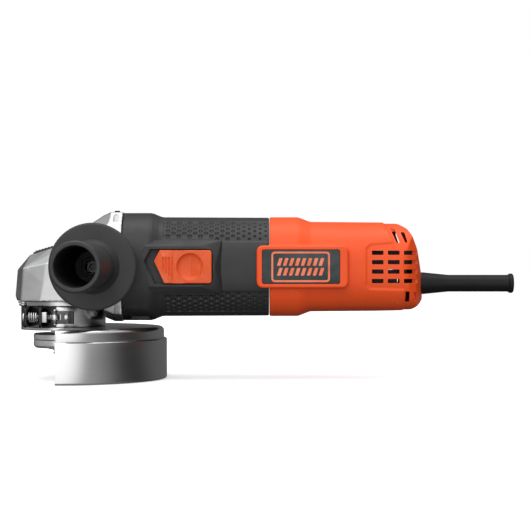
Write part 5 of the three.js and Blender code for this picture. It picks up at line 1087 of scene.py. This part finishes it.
def rear_shell():
    """The left half of the orange housing, hollow, with its badge frame, vents and screw bosses."""
    xs = np.concatenate([[REAR_START, REAR_START + 0.5], np.arange(REAR_START + 2, 196, 1.0),
                         np.arange(196, REAR_END, 0.45), [REAR_END]])
    outer = trim_tail(grid_solid(skin_grid(rear_stations(), xs, 200, rear_depth)))
    boolean(outer, [badge_frame()], "UNION")
    softened(outer, 0.5, 3)
    inner_stations = [(x, w - WALL, h - WALL) for x, w, h in rear_stations()]
    inner_stations[0] = (REAR_START - 1, *inner_stations[1][1:])
    inner = trim_tail(grid_solid(skin_grid(inner_stations, [s[0] for s in inner_stations], 60)), WALL)
    boolean(outer, [inner])
    boolean(outer, [box(0, 400, -60, -GAP / 2, 0, 140)], "INTERSECT")
    bosses = [bar("y", 4, -17.5, -GAP / 2, at, 40) for at in SHELL_SCREWS]
    boolean(outer, bosses, "UNION")
    cutters = [bar("y", 1.8, -16, 1, at) for at in SHELL_SCREWS]
    cutters.append(bar("x", 7.6, REAR_END - 20, REAR_END + 9, (0, BOOT_Z), 64))
    recess = badge_outline(0, 1.6)
    cutters.append(prism("y", recess, -BADGE_Y - 5, -BADGE_Y + 1.6))
    return boolean(outer, cutters + vent_cutters())


def rear_housing(paint):
    left = rear_shell()
    right = mirror_y(copy_of(left))
    for at in SHELL_SCREWS:
        boolean(right, [bar("y", 1.8, -1, 60, at), bar("y", 3.6, 20, 60, at, 48)])
    piece(left, "rear_shell_left", "base", paint["orange"], ["rear_housing_left"], 35)
    piece(right, "rear_shell_right", "base", paint["orange"], ["rear_housing_right"], 35)
    for i, at in enumerate(SHELL_SCREWS):
        screw(f"shell_screw_{i + 1}_star", f"shell_screw_{i + 1}", "y", 3, 2.2, 1.5, 22.5, 33, at, -1,
              "base", paint)


def badge(paint):
    """A plain dark plate with a thin frame and a generic mark of slanted bars."""
    back, front = -BADGE_Y + 1.3, -BADGE_Y + 0.45
    plate = bevelled(prism("y", badge_outline(GAP, 1.4), front, back), 0.2)
    fx0, fx1, fz0, fz1 = 139.0, 177.0, 48.5, 68.3
    raised = front - 0.15
    ring = prism("y", rounded_box(fx0, fx1, fz0, fz1, 2.6, 6), raised, front + 0.1)
    boolean(ring, [prism("y", rounded_box(fx0 + 1.25, fx1 - 1.25, fz0 + 1.25, fz1 - 1.25, 1.5, 6), -40,
                         -30)])
    marks = []
    bar_height, bar_width, lean, count = 5.0, 2.2, 1.6, 8
    for low in (fz0 + 4.2, fz1 - 4.2 - bar_height):
        for i in range(count):
            u = fx0 + 3.6 + i * (fx1 - fx0 - 7.2 - bar_width - lean) / (count - 1)
            corners = [(u, low), (u + bar_width, low), (u + bar_width + lean, low + bar_height),
                       (u + lean, low + bar_height)]
            marks.append(prism("y", rounded(corners, 0.4, 2), raised, front + 0.1))
    boolean(ring, marks, "UNION")
    for side in ("left", "right"):
        flip = (lambda o: o) if side == "left" else mirror_y
        own_plate, own_ring = (plate, ring) if side == "right" else (copy_of(plate), copy_of(ring))
        piece(flip(own_plate), f"badge_plate_{side}", "base", paint["badge"],
              [f"badge_{side}"])
        piece(flip(own_ring), f"badge_mark_{side}", "base", paint["emblem"])


def boot(paint):
    """The cord's boot: a sleeve and collar inside the tail, a cone, a long sleeve and an end lip."""
    base, start, collar, end = REAR_END + GAP, REAR_END - 16, REAR_END - 10.5, BOOT_END
    sleeve, root, bore = 5.6, 7.3, 3.7
    profile = [(bore, start), (root - 1, start), (root - 1, collar), (root + 2.4, collar),
               (root + 2.4, collar + 5), (root, collar + 5)]
    profile += [(sleeve + (root - sleeve) * (1 - k / 10), base + 1.7 * k) for k in range(11)]
    lip = sleeve + 0.9
    tail = [(sleeve, end - 3.6), (lip, end - 2.4), (lip, end - 0.7), (sleeve + 0.2, end), (bore + 0.4, end),
            (bore, end - 0.6)]
    profile += rounded([(sleeve, end - 10)] + tail, [0, 1.2, 0.5, 0.5, 0.3, 0.2, 0], 4)
    piece(lathe("x", profile, (0, BOOT_Z), 72), "cord_boot", "base", paint["rubber"],
          ["strain_relief"])


# ------------------------------------------------------------------ what keeps its CAD shape
def edge_shader():
    """A node group that shades a mesh smooth but keeps its sharp edges crisp."""
    group = bpy.data.node_groups.new("smooth by angle", "GeometryNodeTree")
    group.interface.new_socket("Geometry", in_out="INPUT", socket_type="NodeSocketGeometry")
    group.interface.new_socket("Geometry", in_out="OUTPUT", socket_type="NodeSocketGeometry")
    first, last = group.nodes.new("NodeGroupInput"), group.nodes.new("NodeGroupOutput")
    faces, edges = (group.nodes.new("GeometryNodeSetShadeSmooth") for _ in range(2))
    faces.domain, edges.domain = "FACE", "EDGE"
    edges.inputs["Shade Smooth"].default_value = False
    angle = group.nodes.new("GeometryNodeInputMeshEdgeAngle")
    over = group.nodes.new("FunctionNodeCompare")
    over.operation = "GREATER_THAN"
    over.inputs[1].default_value = math.radians(28)
    group.links.new(angle.outputs["Unsigned Angle"], over.inputs[0])
    group.links.new(first.outputs[0], faces.inputs[0])
    group.links.new(faces.outputs[0], edges.inputs[0])
    group.links.new(over.outputs[0], edges.inputs["Selection"])
    group.links.new(edges.outputs[0], last.inputs[0])
    return group


def keep_cad_nodes(paint):
    """Gives each CAD node that stays its procedural material and smooth shading that keeps sharp edges
    crisp.
    """
    finishes = {
        "lock_pin": "bright", "lock_spring": "steel", "bevel_gear": "steel", "spindle_bearing": "bright",
        "spindle_bush": "brass", "switch_rod": "inner", "switch_module": "inner", "cord_clamp": "inner",
        "stator_core": "laminations", "field_coil_upper": "copper", "field_coil_lower": "copper",
        "armature_shaft": "bright", "armature_core": "laminations", "armature_winding_front": "copper",
        "armature_winding_rear": "copper", "commutator": "segments", "pinion": "bright",
        "cooling_fan": "inner",
        "fan_baffle": "inner", "front_bearing": "bright", "rear_bearing": "bright", "brush_1": "carbon",
        "brush_2": "carbon", "brush_holder_1": "brass", "brush_holder_2": "brass",
    }
    shade = edge_shader()
    for name, finish in finishes.items():
        obj = bpy.data.objects[name]
        for i in range(max(1, len(obj.material_slots))):
            if i < len(obj.material_slots):
                obj.material_slots[i].material = paint[finish]
        modifier = obj.modifiers.new("smooth", "NODES")
        modifier.node_group = shade


# ------------------------------------------------------------------ camera, floor and lights
def camera():
    data = bpy.data.cameras.new("camera")
    data.lens = 105.3
    data.sensor_width = 36.0
    data.clip_end = 100.0
    obj = bpy.data.objects.new("camera", data)
    obj.location = (0.1349, -1.0385, 0.0596)
    obj.rotation_euler = (math.pi / 2, 0, 0)
    bpy.context.scene.collection.objects.link(obj)
    bpy.context.scene.camera = obj


FLOOR_RADIUS = 2.6


def floor():
    """A round pale floor just under the guard, kept out of the object's reflections."""
    z = SKIRT_BOTTOM * MM - 0.0004
    count = 96
    rim = [(FLOOR_RADIUS * math.cos(a), FLOOR_RADIUS * math.sin(a), z) for a in
           (math.tau * k / count for k in range(count))]
    mesh = bpy.data.meshes.new("floor")
    mesh.from_pydata(rim, [], [list(range(count))])
    obj = link(mesh, "floor")
    n = Nodes("floor paint")
    n.set(Base_Color=(0.96, 0.96, 0.96, 1), Roughness=0.85, Specular_IOR_Level=0.1)
    n.set(Emission_Color=(1, 1, 1, 1), Emission_Strength=0.45)
    mesh.materials.append(n.material)
    obj.visible_glossy = False
    obj.visible_diffuse = False


def area_light(name, location, target, size, power, tone=(1, 1, 1)):
    data = bpy.data.lights.new(name, "AREA")
    data.shape = "RECTANGLE"
    data.size, data.size_y = size
    data.energy = power
    data.color = tone
    obj = bpy.data.objects.new(name, data)
    obj.location = location
    obj.rotation_euler = (Vector(target) - Vector(location)).to_track_quat("-Z", "Y").to_euler()
    bpy.context.scene.collection.objects.link(obj)


# Each soft source of the studio: its direction, the spread where it starts and is full, its strength.
SOFT_SOURCES = [
    ((0.0, -0.3, 1.0), 0.2, 0.98, 1.0),
    ((0.0, -1.0, 0.05), 0.82, 1.0, 1.25),
    ((0.0, -1.0, 0.1), 0.17, 1.0, 0.3),
    ((-1.0, 0.1, 0.35), 0.45, 0.98, 0.3),
    ((0.55, 1.0, 0.45), 0.45, 0.98, 0.1),
    ((0.0, -0.7, -1.0), 0.1, 1.0, 0.22),
]
AMBIENT = 0.05


def world():
    """White where the camera looks past the object, and soft sources round a dim studio otherwise."""
    shade = bpy.data.worlds.new("studio")
    shade.use_nodes = True
    tree = shade.node_tree
    tree.nodes.clear()
    white = (1, 1, 1, 1)
    direction = add_node(tree, "ShaderNodeTexCoord").outputs["Generated"]
    total = AMBIENT
    for way, start, full, strength in SOFT_SOURCES:
        dot = add_node(tree, "ShaderNodeVectorMath", {0: direction, 1: Vector(way).normalized()},
                       operation="DOT_PRODUCT").outputs["Value"]
        lobe = add_node(tree, "ShaderNodeMapRange", {"Value": dot, "From Min": start, "From Max": full,
                                                     "To Min": 0.0, "To Max": strength},
                        interpolation_type="SMOOTHSTEP").outputs[0]
        total = add_node(tree, "ShaderNodeMath", {0: lobe, 1: total}).outputs[0]
    lit = add_node(tree, "ShaderNodeBackground", {"Color": white, "Strength": total}).outputs[0]
    seen = add_node(tree, "ShaderNodeBackground", {"Color": white, "Strength": 1.0}).outputs[0]
    camera_ray = add_node(tree, "ShaderNodeLightPath").outputs["Is Camera Ray"]
    mix = add_node(tree, "ShaderNodeMixShader", {0: camera_ray, 1: lit, 2: seen})
    add_node(tree, "ShaderNodeOutputWorld", {0: mix.outputs[0]})
    bpy.context.scene.world = shade


def studio():
    world()
    floor()
    middle = (0.12, 0.0, 0.05)
    area_light("top", (0.1, -0.3, 1.6), middle, (1.6, 1.2), 12)
    area_light("key", (-0.2, -1.5, 1.15), (0.05, 0.0, 0.03), (0.9, 0.5), 5)
    bpy.context.scene.view_settings.view_transform = "Standard"


# ------------------------------------------------------------------ the model
def build():
    paint = make_materials()
    gear_case(paint)
    lock_button(paint)
    bearing_cap(paint)
    head_screws(paint)
    top_plug(paint)
    spindle_line(paint)
    guard(paint)
    guard_band(paint)
    clamp(paint)
    handle(paint)
    motor_housing(paint)
    slider(paint)
    rear_housing(paint)
    badge(paint)
    boot(paint)
    keep_cad_nodes(paint)


camera()
studio()
build()
